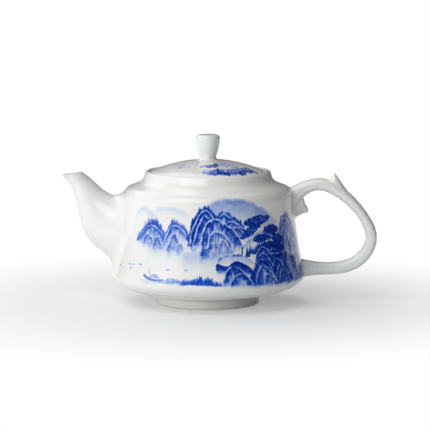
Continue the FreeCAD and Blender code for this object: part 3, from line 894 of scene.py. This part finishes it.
def wall_outline(pot):
    """The closed half section of the pot's wall, with the rim of the bowl, and the corners to round."""
    belly = pot.foot_height + pot.bowl_depth
    shoulder = belly + pot.side_height
    collar = shoulder + pot.shoulder_rise
    rim = collar + pot.collar_height
    ledge = rim - pot.seat_depth
    wall = pot.wall
    outer_bowl, inner_bowl = bowl_outlines(pot)
    outer_shoulder = (pot.shoulder_radius, shoulder)
    inner_shoulder = (pot.shoulder_radius - wall, shoulder - wall)
    corners = [
        (outer_shoulder, pot.shoulder_round, 16),
        ((pot.collar_radius, collar), pot.collar_round, 8),
        ((pot.rim_radius, rim), pot.rim_round, 6),
        ((pot.seat_radius, rim), pot.rim_round, 6),
        ((pot.seat_radius, ledge), pot.seat_round, 3),
        ((pot.neck_radius, ledge), pot.ledge_round, 3),
        ((pot.neck_radius, collar - wall), pot.neck_round, 3),
        (inner_shoulder, pot.inner_shoulder_round, 4),
    ]
    side = bowed((pot.belly_radius, belly), outer_shoulder, pot.side_hollow, 124)
    inner_side = bowed((pot.belly_radius - wall, belly), inner_shoulder, pot.side_hollow, 8)
    points = outer_bowl[WALL_STARTS[0]:]
    points += stopped_short(side, outer_shoulder, pot.shoulder_round + 0.1 * MM)
    rounds = {len(points) + index: corner[1:] for index, corner in enumerate(corners)}
    points += [corner[0] for corner in corners]
    points += inner_side[::-1] + inner_bowl[WALL_STARTS[1]:][::-1]
    return points, rounds


class TEAPOT_OT_pot_base(bpy.types.Operator):
    """Turns the bowl under the belly line, a hair inside the wall where the two overlap"""

    bl_idname = "teapot.pot_base"
    bl_label = "Pot Base"

    def execute(self, context):
        pot = context.scene.teapot_pot
        outside, inside = bowl_outlines(pot)
        points = [(0.0, pot.foot_height)]
        points += [(radius - HAIR, height + HAIR) for radius, height in outside[:BASE_ENDS[0]]]
        points += [(radius + HAIR, height - HAIR) for radius, height in inside[:BASE_ENDS[1]][::-1]]
        points += [(0.0, pot.foot_height + pot.wall - HAIR)]
        bowl = turned(half_section(points, {}), RING_STEPS)
        piece("pot_base_turned", bowl, "pot", ["pot_base"], glaze_material("base glaze"))
        return {"FINISHED"}


class TEAPOT_OT_pot_body(bpy.types.Operator):
    """Turns the pot's wall, finer where it is painted, opens the spout's hole and paints the side"""

    bl_idname = "teapot.pot_body"
    bl_label = "Pot Body"

    def execute(self, context):
        pot = context.scene.teapot_pot
        outline = wall_outline(pot)
        first, painted = math.radians(-165.0), math.radians(168.0)
        fine_steps, plain_steps = 416, 64
        front = turned(half_section(*outline, closed=True), fine_steps, first, painted)
        back = turned(half_section(*outline, closed=True), plain_steps, first + painted,
                      2 * math.pi - painted)
        shell = welded(together(front, back))
        self.open_spout_hole(context, shell)
        made = piece("pot_wall", shell, "pot", ["pot_body"],
                     glaze_material("painted glaze", painted=True))
        self.paint(pot, made)
        return {"FINISHED"}

    def paint(self, pot, made):
        """Lays the landscape on the outside of the wall, its middle towards the front."""
        places = vertex_places(made)
        radius = np.hypot(places[:, 0], places[:, 1])
        turn = np.arctan2(places[:, 0], -places[:, 1])
        outside = radius > (side_radius(pot, places[:, 2] * MM) - pot.wall / 2) / MM
        middle = (pot.belly_radius + pot.shoulder_radius) / (2 * MM)
        on_sheet = np.column_stack([turn * middle, places[:, 2]])
        on_sheet[~outside] = np.nan
        painted_on(made, landscape(), on_sheet)

    def open_spout_hole(self, context, shell):
        """Opens the round hole that lets the tea into the spout."""
        pot = context.scene.teapot_pot
        spout = context.scene.teapot_spout
        axis = pot.foot_height + pot.bowl_depth + spout.rise

        def away(point):
            """Distance of a point from the hole's axis."""
            return math.hypot(point.y, point.z - axis)

        gone = [face for face in shell.faces
                if face.calc_center_median().x < 0 and away(face.calc_center_median()) < spout.hole_radius]
        bmesh.ops.delete(shell, geom=gone, context="FACES")
        edges = [edge for edge in shell.edges if edge.is_boundary]
        for vert in {vert for edge in edges for vert in edge.verts}:
            radius = math.hypot(vert.co.x, vert.co.y)
            stretch = spout.hole_radius / away(vert.co)
            vert.co.y *= stretch
            vert.co.z = axis + (vert.co.z - axis) * stretch
            vert.co.x = -math.sqrt(radius**2 - vert.co.y**2)
        bmesh.ops.bridge_loops(shell, edges=edges)


class TEAPOT_OT_foot_ring(bpy.types.Operator):
    """Turns the foot ring, with a fillet of glaze where it meets the base"""

    bl_idname = "teapot.foot_ring"
    bl_label = "Foot Ring"

    def execute(self, context):
        pot = context.scene.teapot_pot
        outer = pot.foot_radius
        inner = outer - pot.foot_width
        outer_spread, inner_spread = outer + pot.foot_spread, inner - pot.foot_inner_spread
        join = pot.foot_height + pot.foot_join
        inside = pot.foot_height + pot.wall / 2
        points = [(inner, 0.0), (outer, 0.0), (outer, join), (outer_spread, join + pot.foot_join_slope),
                  (outer_spread, inside), (inner_spread, inside), (inner_spread, pot.foot_height),
                  (inner, pot.foot_height)]
        rounds = {0: (pot.foot_round, 5), 1: (pot.foot_round, 5), 2: (pot.foot_fillet, 6),
                  7: (pot.foot_inner_fillet, 5)}
        ring = turned(half_section(points, rounds, closed=True), RING_STEPS)
        piece("foot_ring_turned", ring, "pot", ["foot_ring"], foot_material("foot glaze"))
        return {"FINISHED"}


class TEAPOT_OT_spout(bpy.types.Operator):
    """Draws the hollow spout from its sections and lutes it to the wall"""

    bl_idname = "teapot.spout"
    bl_label = "Spout"

    def guides(self, context, count):
        """The spout's lower and upper outline in the plane of the handle, from the wall to the lip."""
        pot = context.scene.teapot_pot
        spout = context.scene.teapot_spout
        belly = pot.foot_height + pot.bowl_depth
        rim = belly + pot.side_height + pot.shoulder_rise + pot.collar_height
        low_height = belly + spout.rise - spout.root_height / 2
        high_height = belly + spout.rise + spout.root_height / 2
        tip = Vector((-pot.belly_radius - spout.reach, 0.0, rim - spout.tip_drop))
        lip = Vector((math.cos(spout.lip_tilt), 0.0, math.sin(spout.lip_tilt))) * (spout.tip_length / 2)
        low_root = Vector((-side_radius(pot, low_height) + pot.wall / 2, 0.0, low_height))
        high_root = Vector((-side_radius(pot, high_height) + pot.wall / 2, 0.0, high_height))
        low_span = tip - lip - low_root
        high_span = tip + lip - high_root

        def between(root, span, shares):
            """Points at shares of the way out and up."""
            return [root + Vector((span.x * out, 0.0, span.z * up)) for out, up in shares]

        low = between(low_root, low_span, ((0, 0), (0.14, 0.09), (0.36, 0.19), (0.60, 0.39), (0.71, 0.66),
                                           (1, 1)))
        high = between(high_root, high_span, ((0, 0), (0.16, -0.32), (0.39, -0.15), (0.74, 0.54), (1, 1)))
        return smooth_curve(low, count)[0], smooth_curve(high, count)[0]

    def sections(self, context, root_inset, lip_inset, count=60):
        """Rings of the spout's skin, or of its bore when it is inset by the clay."""
        spout = context.scene.teapot_spout
        rings = []
        for step, (start, end) in enumerate(zip(*self.guides(context, count))):
            share = step / (count - 1)
            span = end - start
            inset = root_inset + (lip_inset - root_inset) * share
            long = np.linalg.norm(span)
            wide = spout.tip_width + (spout.root_width - spout.tip_width) * (1 - share)**1.7
            rings.append(oval((start + end) / 2, span / long, long / 2 - inset, wide / 2 - inset))
        sink = spout.root_width**2 / (8 * context.scene.teapot_pot.shoulder_radius)
        sunk = [rings[0] + np.array((sink * share, 0.0, 0.0)) for share in (1.0, 0.8, 0.6, 0.4, 0.2)]
        return np.array(sunk + rings)

    def execute(self, context):
        spout = context.scene.teapot_spout
        wall = surface_of("pot_wall")
        skin = self.sections(context, 0.0, 0.0)
        bore = self.sections(context, spout.wall, spout.lip)
        lip = self.lip_rows(skin, bore)
        skin_rows = luted_rows(np.delete(skin, -2, axis=0), wall, spout.lute)
        bore_rows = luted_rows(np.delete(bore, -2, axis=0), wall, 0.0)
        rows = skin_rows + lip + bore_rows[::-1]
        piece("spout_luted", bridged(rows, looped=True), "pot", ["spout"],
              glaze_material("spout glaze"))
        return {"FINISHED"}

    def lip_rows(self, skin, bore):
        """Rings over the rounded lip, with the last rings of skin and bore drawn back to make room for it."""
        onward = skin[-1] - skin[-2]
        onward /= np.linalg.norm(onward, axis=1)[:, None]
        rise = onward * np.linalg.norm(skin[-1] - bore[-1], axis=1)[:, None] / 2
        skin[-1] -= rise
        bore[-1] -= rise
        middle = (skin[-1] + bore[-1]) / 2
        half = (skin[-1] - bore[-1]) / 2
        return [middle + half * math.cos(turn) + rise * math.sin(turn)
                for turn in np.radians((20, 45, 70, 90, 110, 135, 160))]


def contact_with(wall, line):
    """Where a line of points leaves a wall: the place, and its distance along the line in steps."""
    gaps = [clearance(wall, point)[0] for point in line]
    inside = next(step for step, gap in enumerate(gaps) if gap <= 0 < gaps[step + 1])
    share = gaps[inside] / (gaps[inside] - gaps[inside + 1])
    return line[inside] + (line[inside + 1] - line[inside]) * share, inside + share


def luted_rows(rings, wall, lute):
    """Rings from the wall outwards: a fillet of slip that starts on it, then the rings clear of it."""
    lines = rings.swapaxes(0, 1)
    contacts, starts = zip(*(contact_with(wall, line) for line in lines))
    contacts = np.array(contacts)
    centre = Vector(contacts.mean(axis=0))
    rows = []
    for column, line in enumerate(lines):
        run = np.concatenate([[0.0], np.cumsum(np.linalg.norm(np.diff(line, axis=0), axis=1))])
        leave_at = np.interp(starts[column], np.arange(len(line)), run) + lute
        stations = np.linspace(leave_at, run[-1], 44)
        clear = np.array([np.interp(stations, run, line[:, axis]) for axis in range(3)]).T
        fillet = []
        if lute:
            contact = Vector(contacts[column])
            around = Vector(contacts[(column + 1) % len(lines)] - contacts[column - 1])
            outward = around.cross(clearance(wall, contact)[2]).normalized()
            if outward.dot(contact - centre) < 0:
                outward = -outward
            _, landing, normal = clearance(wall, contact + outward * lute)
            fillet = bowed_line([landing - normal * SINK, contact, clear[0]], 10)[:-1]
        rows.append([*fillet, *clear])
    return [np.array(row) for row in zip(*rows)]


class TEAPOT_OT_strainer(bpy.types.Operator):
    """Glazes the pierced half ball inside the pot"""

    bl_idname = "teapot.strainer"
    bl_label = "Strainer"

    def execute(self, context):
        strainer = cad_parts["strainer"]
        strainer.data.materials.clear()
        strainer.data.materials.append(glaze_material("strainer glaze"))
        return {"FINISHED"}


class TEAPOT_OT_handle(bpy.types.Operator):
    """Draws the ear handle and its spurs, and blends them into each other and the wall"""

    bl_idname = "teapot.handle"
    bl_label = "Handle"

    def bow_line(self, context, count):
        """The handle's centre line and its directions, from the upper root round to the lower root."""
        pot = context.scene.teapot_pot
        handle = context.scene.teapot_handle
        belly = pot.foot_height + pot.bowl_depth
        top = belly + pot.side_height - handle.top_drop
        bottom = belly + handle.bottom_rise
        start = side_radius(pot, top) - pot.wall / 2
        out = pot.belly_radius + handle.reach - start
        rise = top - bottom
        shares = ((0.17, 1.14), (0.34, 1.195), (0.63, 1.06), (0.91, 0.72), (1.0, 0.43), (0.85, 0.12),
                  (0.5, 0.0))
        points = [(start, 0.0, top)]
        points += [(start + across * out, 0.0, bottom + up * rise) for across, up in shares]
        points += [(side_radius(pot, bottom) - pot.wall / 2, 0.0, bottom)]
        return smooth_curve(points, count)

    def bow(self, context):
        """The bow, an oval section carried along the centre line and spread at both roots."""
        handle = context.scene.teapot_handle
        count = 97
        root_share = 0.14
        slim_at, slim_spread = 0.42, 0.12
        rows = []
        for step, (centre, direction) in enumerate(zip(*self.bow_line(context, count))):
            share = step / (count - 1)
            root = max(0.0, 1 - share / root_share, 1 - (1 - share) / root_share)**2
            slim = math.exp(-((share - slim_at) / slim_spread)**2)
            thickness = handle.thickness - handle.slimming * slim
            thickness += (handle.root_length - thickness) * root
            depth = handle.depth + (handle.root_depth - handle.depth) * root
            across = Vector(direction).cross(ACROSS)
            rows.append(oval(centre, across, thickness / 2, depth / 2, squareness=2.6))
        return bridged(rows, capped=True)

    def thumb_spur(self, context):
        """The upright spur on the bow that the thumb rests behind, its skirt longer towards the bow's end."""
        handle = context.scene.teapot_handle
        tall, long, deep = handle.thumb_spur_height, handle.thumb_spur_length, handle.spur_depth
        foot_share = 0.246
        foot = Vector(self.bow_line(context, 501)[0][round(500 * foot_share)])
        shares = smooth_curve([(0.0, 1.3, 1.0, 0.15), (0.3, 0.88, 0.95, 0.13), (0.55, 0.54, 0.85, 0.07),
                               (0.8, 0.26, 0.6, 0.02), (1.0, 0.04, 0.1, 0.0)], 24)[0]
        rows = []
        for height, span, depth, shift in shares:
            lean = Vector((0.88 + 0.1 * height, 0.0, 0.1 * height - 0.48)).normalized()
            centre = foot + UP * (height * tall) + lean * (shift * long)
            rows.append(oval(centre, lean, span * long / 2, depth * deep / 2))
        return bridged(rows, capped=True)

    def inner_spur(self, context):
        """The hooked bracket under the bow's upper root."""
        pot = context.scene.teapot_pot
        handle = context.scene.teapot_handle
        shoulder = pot.foot_height + pot.bowl_depth + pot.side_height
        height = shoulder - handle.top_drop - handle.inner_spur_drop
        root = Vector((side_radius(pot, height) - pot.wall / 2, 0.0, height))
        shares = smooth_curve([(0.0, 0.0, 1.0, 1.6), (0.35, 0.0, 0.8, 1.25), (0.56, 0.02, 0.68, 1.1),
                               (0.72, 0.1, 0.54, 1.02), (0.81, 0.48, 0.37, 0.98), (0.91, 0.8, 0.26, 0.9),
                               (1.0, 0.98, 0.15, 0.7), (1.05, 1.02, 0.05, 0.25)], 36)[0]
        rows = []
        for out, dip, span, depth in shares:
            centre = root + Vector((out * handle.inner_spur_out, 0.0, -dip * handle.inner_spur_dip))
            half_length, half_width = span * handle.inner_spur_length / 2, depth * handle.spur_depth / 2
            rows.append(oval(centre, UP, half_length, half_width))
        return bridged(rows, capped=True)

    def wall_sector(self, context):
        """The part of the pot's wall that the handle is luted to, as a closed solid."""
        half_degrees = 24
        section = half_section(*wall_outline(context.scene.teapot_pot), closed=True)
        swung(section, section.verts[:], math.radians(-half_degrees))
        first = section.edges[:]
        spun = bmesh.ops.spin(section, geom=section.verts[:] + first, cent=(0, 0, 0), axis=UP,
                              angle=math.radians(2 * half_degrees), steps=2 * half_degrees)
        last = [part for part in spun["geom_last"] if isinstance(part, bmesh.types.BMEdge)]
        for edges in (first, last):
            bmesh.ops.contextual_create(section, geom=edges)
        return welded(section)

    def execute(self, context):
        lump = together(self.bow(context), self.thumb_spur(context), self.inner_spur(context),
                        self.wall_sector(context))
        skin = self.blended(lump, context.scene.teapot_handle.skin_grid)
        self.cut_to_wall(skin, surface_of("pot_wall"))
        piece("handle_luted", skin, "pot", ["handle"], glaze_material("handle glaze"))
        return {"FINISHED"}

    def blended(self, lump, grid):
        """One skin round all parts of a lump, smoothed so that they run into each other."""
        mesh = mesh_of("handle lump", lump)
        holder = linked("handle lump", mesh)
        remesh = holder.modifiers.new("one skin", "REMESH")
        remesh.mode = "VOXEL"
        remesh.voxel_size = grid
        result = modified(holder)
        skin = bmesh.new()
        skin.from_mesh(result)
        bpy.data.objects.remove(holder)
        bpy.data.meshes.remove(mesh)
        bpy.data.meshes.remove(result)
        for _ in range(14):
            bmesh.ops.smooth_vert(skin, verts=skin.verts[:], factor=0.5, use_axis_x=True, use_axis_y=True,
                                  use_axis_z=True)
        return skin

    def cut_to_wall(self, skin, wall):
        """Takes away the skin that lies on the wall or inside the pot, and closes the cut on the wall."""
        touching, pot_inside = 0.05 * MM, 30 * MM
        gaps = {vert: clearance(wall, vert.co)[0] for vert in skin.verts}
        gone = [face for face in skin.faces if max(gaps[vert] for vert in face.verts) < touching
                or min(math.hypot(vert.co.x, vert.co.y) for vert in face.verts) < pot_inside]
        bmesh.ops.delete(skin, geom=gone, context="FACES")
        edges = [edge for edge in skin.edges if edge.is_boundary]
        for vert in {vert for edge in edges for vert in edge.verts}:
            _, place, normal = clearance(wall, vert.co)
            vert.co = place - normal * HAIR
        bmesh.ops.holes_fill(skin, edges=edges, sides=0)
        bmesh.ops.recalc_face_normals(skin, faces=skin.faces[:])


def lid_ledge(pot):
    """Height of the ledge that the lid sits on."""
    shoulder = pot.foot_height + pot.bowl_depth + pot.side_height
    return shoulder + pot.shoulder_rise + pot.collar_height - pot.seat_depth


def dome_height(context, radius):
    """Height of the cover's dome at a radius."""
    lid = context.scene.teapot_lid
    edge = lid_ledge(context.scene.teapot_pot) + lid.edge
    curve = (lid.radius**2 + lid.rise**2) / (2 * lid.rise)
    return edge + lid.rise - curve + math.sqrt(curve**2 - radius**2)


class TEAPOT_OT_lid_cover(bpy.types.Operator):
    """Turns the domed cover, opens its vent and paints it"""

    bl_idname = "teapot.lid_cover"
    bl_label = "Lid Cover"

    def execute(self, context):
        lid = context.scene.teapot_lid
        ledge = lid_ledge(context.scene.teapot_pot)
        inner = lid.flange_radius - lid.flange_wall
        dome = [(radius, dome_height(context, radius))
                for radius in np.linspace(0.0, lid.radius, 91).tolist()]
        under = [(radius, dome_height(context, radius) - lid.wall)
                 for radius in np.linspace(0.0, inner, 17).tolist()]
        edge = dome.pop()
        points = stopped_short(dome, edge, 1.1 * lid.edge_round)
        rounds = {len(points): (lid.edge_round, 5), len(points) + 1: (lid.seat_round, 3)}
        points += [edge, (lid.radius, ledge), (inner, ledge)] + under[::-1]
        cover = turned(half_section(points, rounds), 640)
        made = piece("lid_cover_domed", cover, "lid", ["lid_cover"],
                     glaze_material("lid glaze", painted=True))
        self.open_vent(context, made)
        self.paint(made, ledge / MM, lid.radius / MM - 0.2)
        return {"FINISHED"}

    def paint(self, made, lowest, widest):
        """Lays the hilltop on the cover from above, inside a radius."""
        places = vertex_places(made)
        on_sheet = places[:, :2].copy()
        on_sheet[(places[:, 2] < lowest) | (np.hypot(*on_sheet.T) > widest)] = np.nan
        painted_on(made, hilltop(), on_sheet)

    def open_vent(self, context, made):
        """Bores the small hole that lets air in as the tea pours."""
        lid = context.scene.teapot_lid
        across = Matrix.Rotation(lid.vent_angle, 3, "Z") @ Vector((lid.vent_offset, 0.0, 0.0))
        place = across + UP * (lid_ledge(context.scene.teapot_pot) + lid.edge)
        drill = bmesh.new()
        bmesh.ops.create_cone(drill, cap_ends=True, segments=40, radius1=lid.vent_diameter / 2,
                              radius2=lid.vent_diameter / 2, depth=30 * MM, matrix=Matrix.Translation(place))
        mesh = mesh_of("vent drill", drill)
        tool = linked("vent drill", mesh)
        cut = made.modifiers.new("vent", "BOOLEAN")
        cut.operation = "DIFFERENCE"
        cut.solver = "EXACT"
        cut.object = tool
        bored = modified(made)
        made.modifiers.clear()
        plain = made.data
        made.data = bored
        bpy.data.meshes.remove(plain)
        bpy.data.objects.remove(tool)
        bpy.data.meshes.remove(mesh)


class TEAPOT_OT_lid_flange(bpy.types.Operator):
    """Turns the ring under the cover that keeps the lid in the neck"""

    bl_idname = "teapot.lid_flange"
    bl_label = "Lid Flange"

    def execute(self, context):
        lid = context.scene.teapot_lid
        ledge = lid_ledge(context.scene.teapot_pot)
        outer = lid.flange_radius
        inner = outer - lid.flange_wall
        bottom = ledge - lid.flange_depth
        inside = ledge + lid.flange_overlap
        edge = outer + lid.flange_spread
        points = [(inner, bottom), (outer, bottom), (outer, ledge), (edge, ledge), (edge, inside),
                  (inner, inside)]
        rounds = {0: (lid.flange_round, 5), 1: (lid.flange_round, 5), 2: (lid.flange_fillet, 4)}
        ring = turned(half_section(points, rounds, closed=True), RING_STEPS)
        piece("lid_flange_turned", ring, "lid", ["lid_flange"], glaze_material("flange glaze"))
        return {"FINISHED"}


class TEAPOT_OT_lid_knob(bpy.types.Operator):
    """Turns the flared knob, its foot spread on the dome"""

    bl_idname = "teapot.lid_knob"
    bl_label = "Lid Knob"

    def execute(self, context):
        lid = context.scene.teapot_lid
        crown = dome_height(context, 0.0)
        top = crown + lid.knob_height
        root = crown - lid.wall / 2
        waist = (lid.knob_neck_radius, crown + lid.knob_waist_height)
        foot = lid.knob_neck_radius + lid.knob_foot_flare
        rest = dome_height(context, foot)
        lip = foot + lid.knob_foot_lip
        bend = (lid.knob_neck_radius + lid.knob_foot_flare * (1 - math.sqrt(0.5)),
                rest + (waist[1] - rest) / 3)
        side = ((lid.knob_neck_radius + lid.knob_radius) / 2 + lid.knob_bulge, (waist[1] + top) / 2)
        edge = (lid.knob_radius, top - lid.knob_crown)
        points = [(0.0, root), (lip, root), (lip, dome_height(context, lip) - SINK)]
        points += three_point_curve((foot, rest + lid.knob_foot_rise), bend, waist, 8)
        points += stopped_short(three_point_curve(waist, side, edge, 14), edge, lid.knob_round + 0.2 * MM)
        rounds = {len(points): (lid.knob_round, 8)}
        points += [edge]
        points += [(lid.knob_radius * share, top - lid.knob_crown * share**2)
                   for share in (0.65, 0.45, 0.2, 0.0)]
        knob = turned(half_section(points, rounds), 96)
        piece("lid_knob_turned", knob, "lid", ["lid_knob"], glaze_material("knob glaze"))
        return {"FINISHED"}


class TEAPOT_OT_stage(bpy.types.Operator):
    """Sets the floor, the light and the camera"""

    bl_idname = "teapot.stage"
    bl_label = "Stage"

    # Each lamp's place, width and height in metres, its power in watts, and if the glaze mirrors it.
    LAMPS = {
        "side light": ((-1.35, -0.36, 0.8), 2.4, 1.0, 5.6, True),
        "front light": ((-0.5, -0.85, 1.15), 1.2, 0.9, 9.4, True),
        "top light": ((0.1, 0.35, 1.25), 1.0, 1.0, 3.2, True),
        "back light": ((-0.6, 0.7, 1.0), 1.0, 1.0, 4.2, True),
        "low light": ((-0.9, -1.1, 0.3), 1.4, 0.3, 8.6, False),
    }

    def execute(self, context):
        self.camera(context)
        self.floor(context)
        self.world(context)
        for name, setting in self.LAMPS.items():
            self.lamp(context, name, *setting)
        context.scene.view_settings.view_transform = "Standard"
        return {"FINISHED"}

    def camera(self, context):
        """Looks at the pot's front from a little above."""
        studio = context.scene.teapot_studio
        lens = bpy.data.cameras.new("camera")
        lens.lens = studio.focal_length
        lens.sensor_width = studio.sensor_width
        eye = linked("camera", lens)
        back = Vector((0.0, -math.cos(studio.camera_rise), math.sin(studio.camera_rise)))
        eye.location = Vector(studio.look_at) + back * studio.camera_distance
        eye.rotation_euler = (-back).to_track_quat("-Z", "Y").to_euler()
        context.scene.camera = eye

    def floor(self, context):
        """A pale floor that takes the pot's shadow and runs into the white background."""
        slab = bmesh.new()
        bmesh.ops.create_grid(slab, x_segments=1, y_segments=1, size=6.0)
        mesh = mesh_of("floor", slab)
        ground = linked("floor", mesh)
        material = bpy.data.materials.new("floor")
        material.use_nodes = True
        tree = material.node_tree
        tree.nodes.remove(tree.nodes["Principled BSDF"])
        colour = (*context.scene.teapot_studio.floor_colour, 1.0)
        paint = node(tree, "BsdfDiffuse", {"Color": colour}).outputs["BSDF"]
        white = node(tree, "Emission", {}).outputs["Emission"]
        place = node(tree, "TexCoord", {}).outputs["Object"]
        away = node(tree, "VectorMath", {0: place}, operation="LENGTH").outputs["Value"]
        far = node(tree, "MapRange", {"Value": away, "From Min": 0.05, "From Max": 0.20, "To Min": 0.3},
                   interpolation_type="SMOOTHSTEP").outputs["Result"]
        rays = node(tree, "LightPath", {}).outputs
        looked_at = sum_of(tree, "MAXIMUM", rays["Is Camera Ray"], rays["Is Glossy Ray"])
        backdrop = sum_of(tree, "MULTIPLY", looked_at, far)
        surface = node(tree, "MixShader", {"Fac": backdrop, 1: paint, 2: white}).outputs["Shader"]
        tree.links.new(surface, tree.nodes["Material Output"].inputs["Surface"])
        mesh.materials.append(material)

    def world(self, context):
        """A dim room that looks white, and is white behind the pot where the glaze mirrors it."""
        sky = bpy.data.worlds.new("studio")
        context.scene.world = sky
        sky.use_nodes = True
        tree = sky.node_tree
        rays = node(tree, "LightPath", {}).outputs
        place = node(tree, "TexCoord", {}).outputs["Generated"]
        backward = node(tree, "SeparateXYZ", {"Vector": place}).outputs["Y"]
        mirrored = sum_of(tree, "MULTIPLY", rays["Is Glossy Ray"], spread(tree, backward, from_max=0.5))
        white = sum_of(tree, "MAXIMUM", rays["Is Camera Ray"], mirrored)
        level = node(tree, "Mix", {"Factor": white, "A": 0.12, "B": 1.0}).outputs["Result"]
        tree.links.new(level, tree.nodes["Background"].inputs["Strength"])

    def lamp(self, context, name, place, width, height, power, mirrored):
        """A soft box that faces the pot."""
        light = bpy.data.lights.new(name, "AREA")
        light.shape = "RECTANGLE"
        light.size = width
        light.size_y = height
        light.energy = power
        box = linked(name, light)
        box.visible_glossy = mirrored
        box.location = place
        aim = Vector(context.scene.teapot_studio.lamp_aim) - Vector(place)
        box.rotation_euler = aim.to_track_quat("-Z", "Y").to_euler()


MAKERS = (
    TEAPOT_OT_pot_base,
    TEAPOT_OT_pot_body,
    TEAPOT_OT_foot_ring,
    TEAPOT_OT_spout,
    TEAPOT_OT_strainer,
    TEAPOT_OT_handle,
    TEAPOT_OT_lid_cover,
    TEAPOT_OT_lid_flange,
    TEAPOT_OT_lid_knob,
    TEAPOT_OT_stage,
)


class TEAPOT_PT_sidebar(bpy.types.Panel):
    """The steps that build the teapot, in order"""

    bl_idname = "TEAPOT_PT_sidebar"
    bl_label = "Teapot"
    bl_space_type = "VIEW_3D"
    bl_region_type = "UI"
    bl_category = "Teapot"

    def draw(self, context):
        for maker in MAKERS:
            self.layout.operator(maker.bl_idname)


GROUPS = {
    "teapot_pot": PotSizes,
    "teapot_lid": LidSizes,
    "teapot_spout": SpoutSizes,
    "teapot_handle": HandleSizes,
    "teapot_finishes": Finishes,
    "teapot_studio": StudioSettings,
}


def register():
    """Adds the sizes, the steps and the sidebar to Blender."""
    for name, group in GROUPS.items():
        bpy.utils.register_class(group)
        setattr(bpy.types.Scene, name, PointerProperty(type=group))
    for maker in MAKERS:
        bpy.utils.register_class(maker)
    bpy.utils.register_class(TEAPOT_PT_sidebar)


def unregister():
    """Takes away what register adds."""
    bpy.utils.unregister_class(TEAPOT_PT_sidebar)
    for maker in reversed(MAKERS):
        bpy.utils.unregister_class(maker)
    for name, group in GROUPS.items():
        delattr(bpy.types.Scene, name)
        bpy.utils.unregister_class(group)


def main():
    """Builds the teapot on its stage."""
    register()
    bpy.ops.teapot.stage()
    bpy.ops.teapot.pot_base()
    bpy.ops.teapot.pot_body()
    bpy.ops.teapot.foot_ring()
    bpy.ops.teapot.spout()
    bpy.ops.teapot.strainer()
    bpy.ops.teapot.handle()
    bpy.ops.teapot.lid_cover()
    bpy.ops.teapot.lid_flange()
    bpy.ops.teapot.lid_knob()


if __name__ == "__main__":
    main()
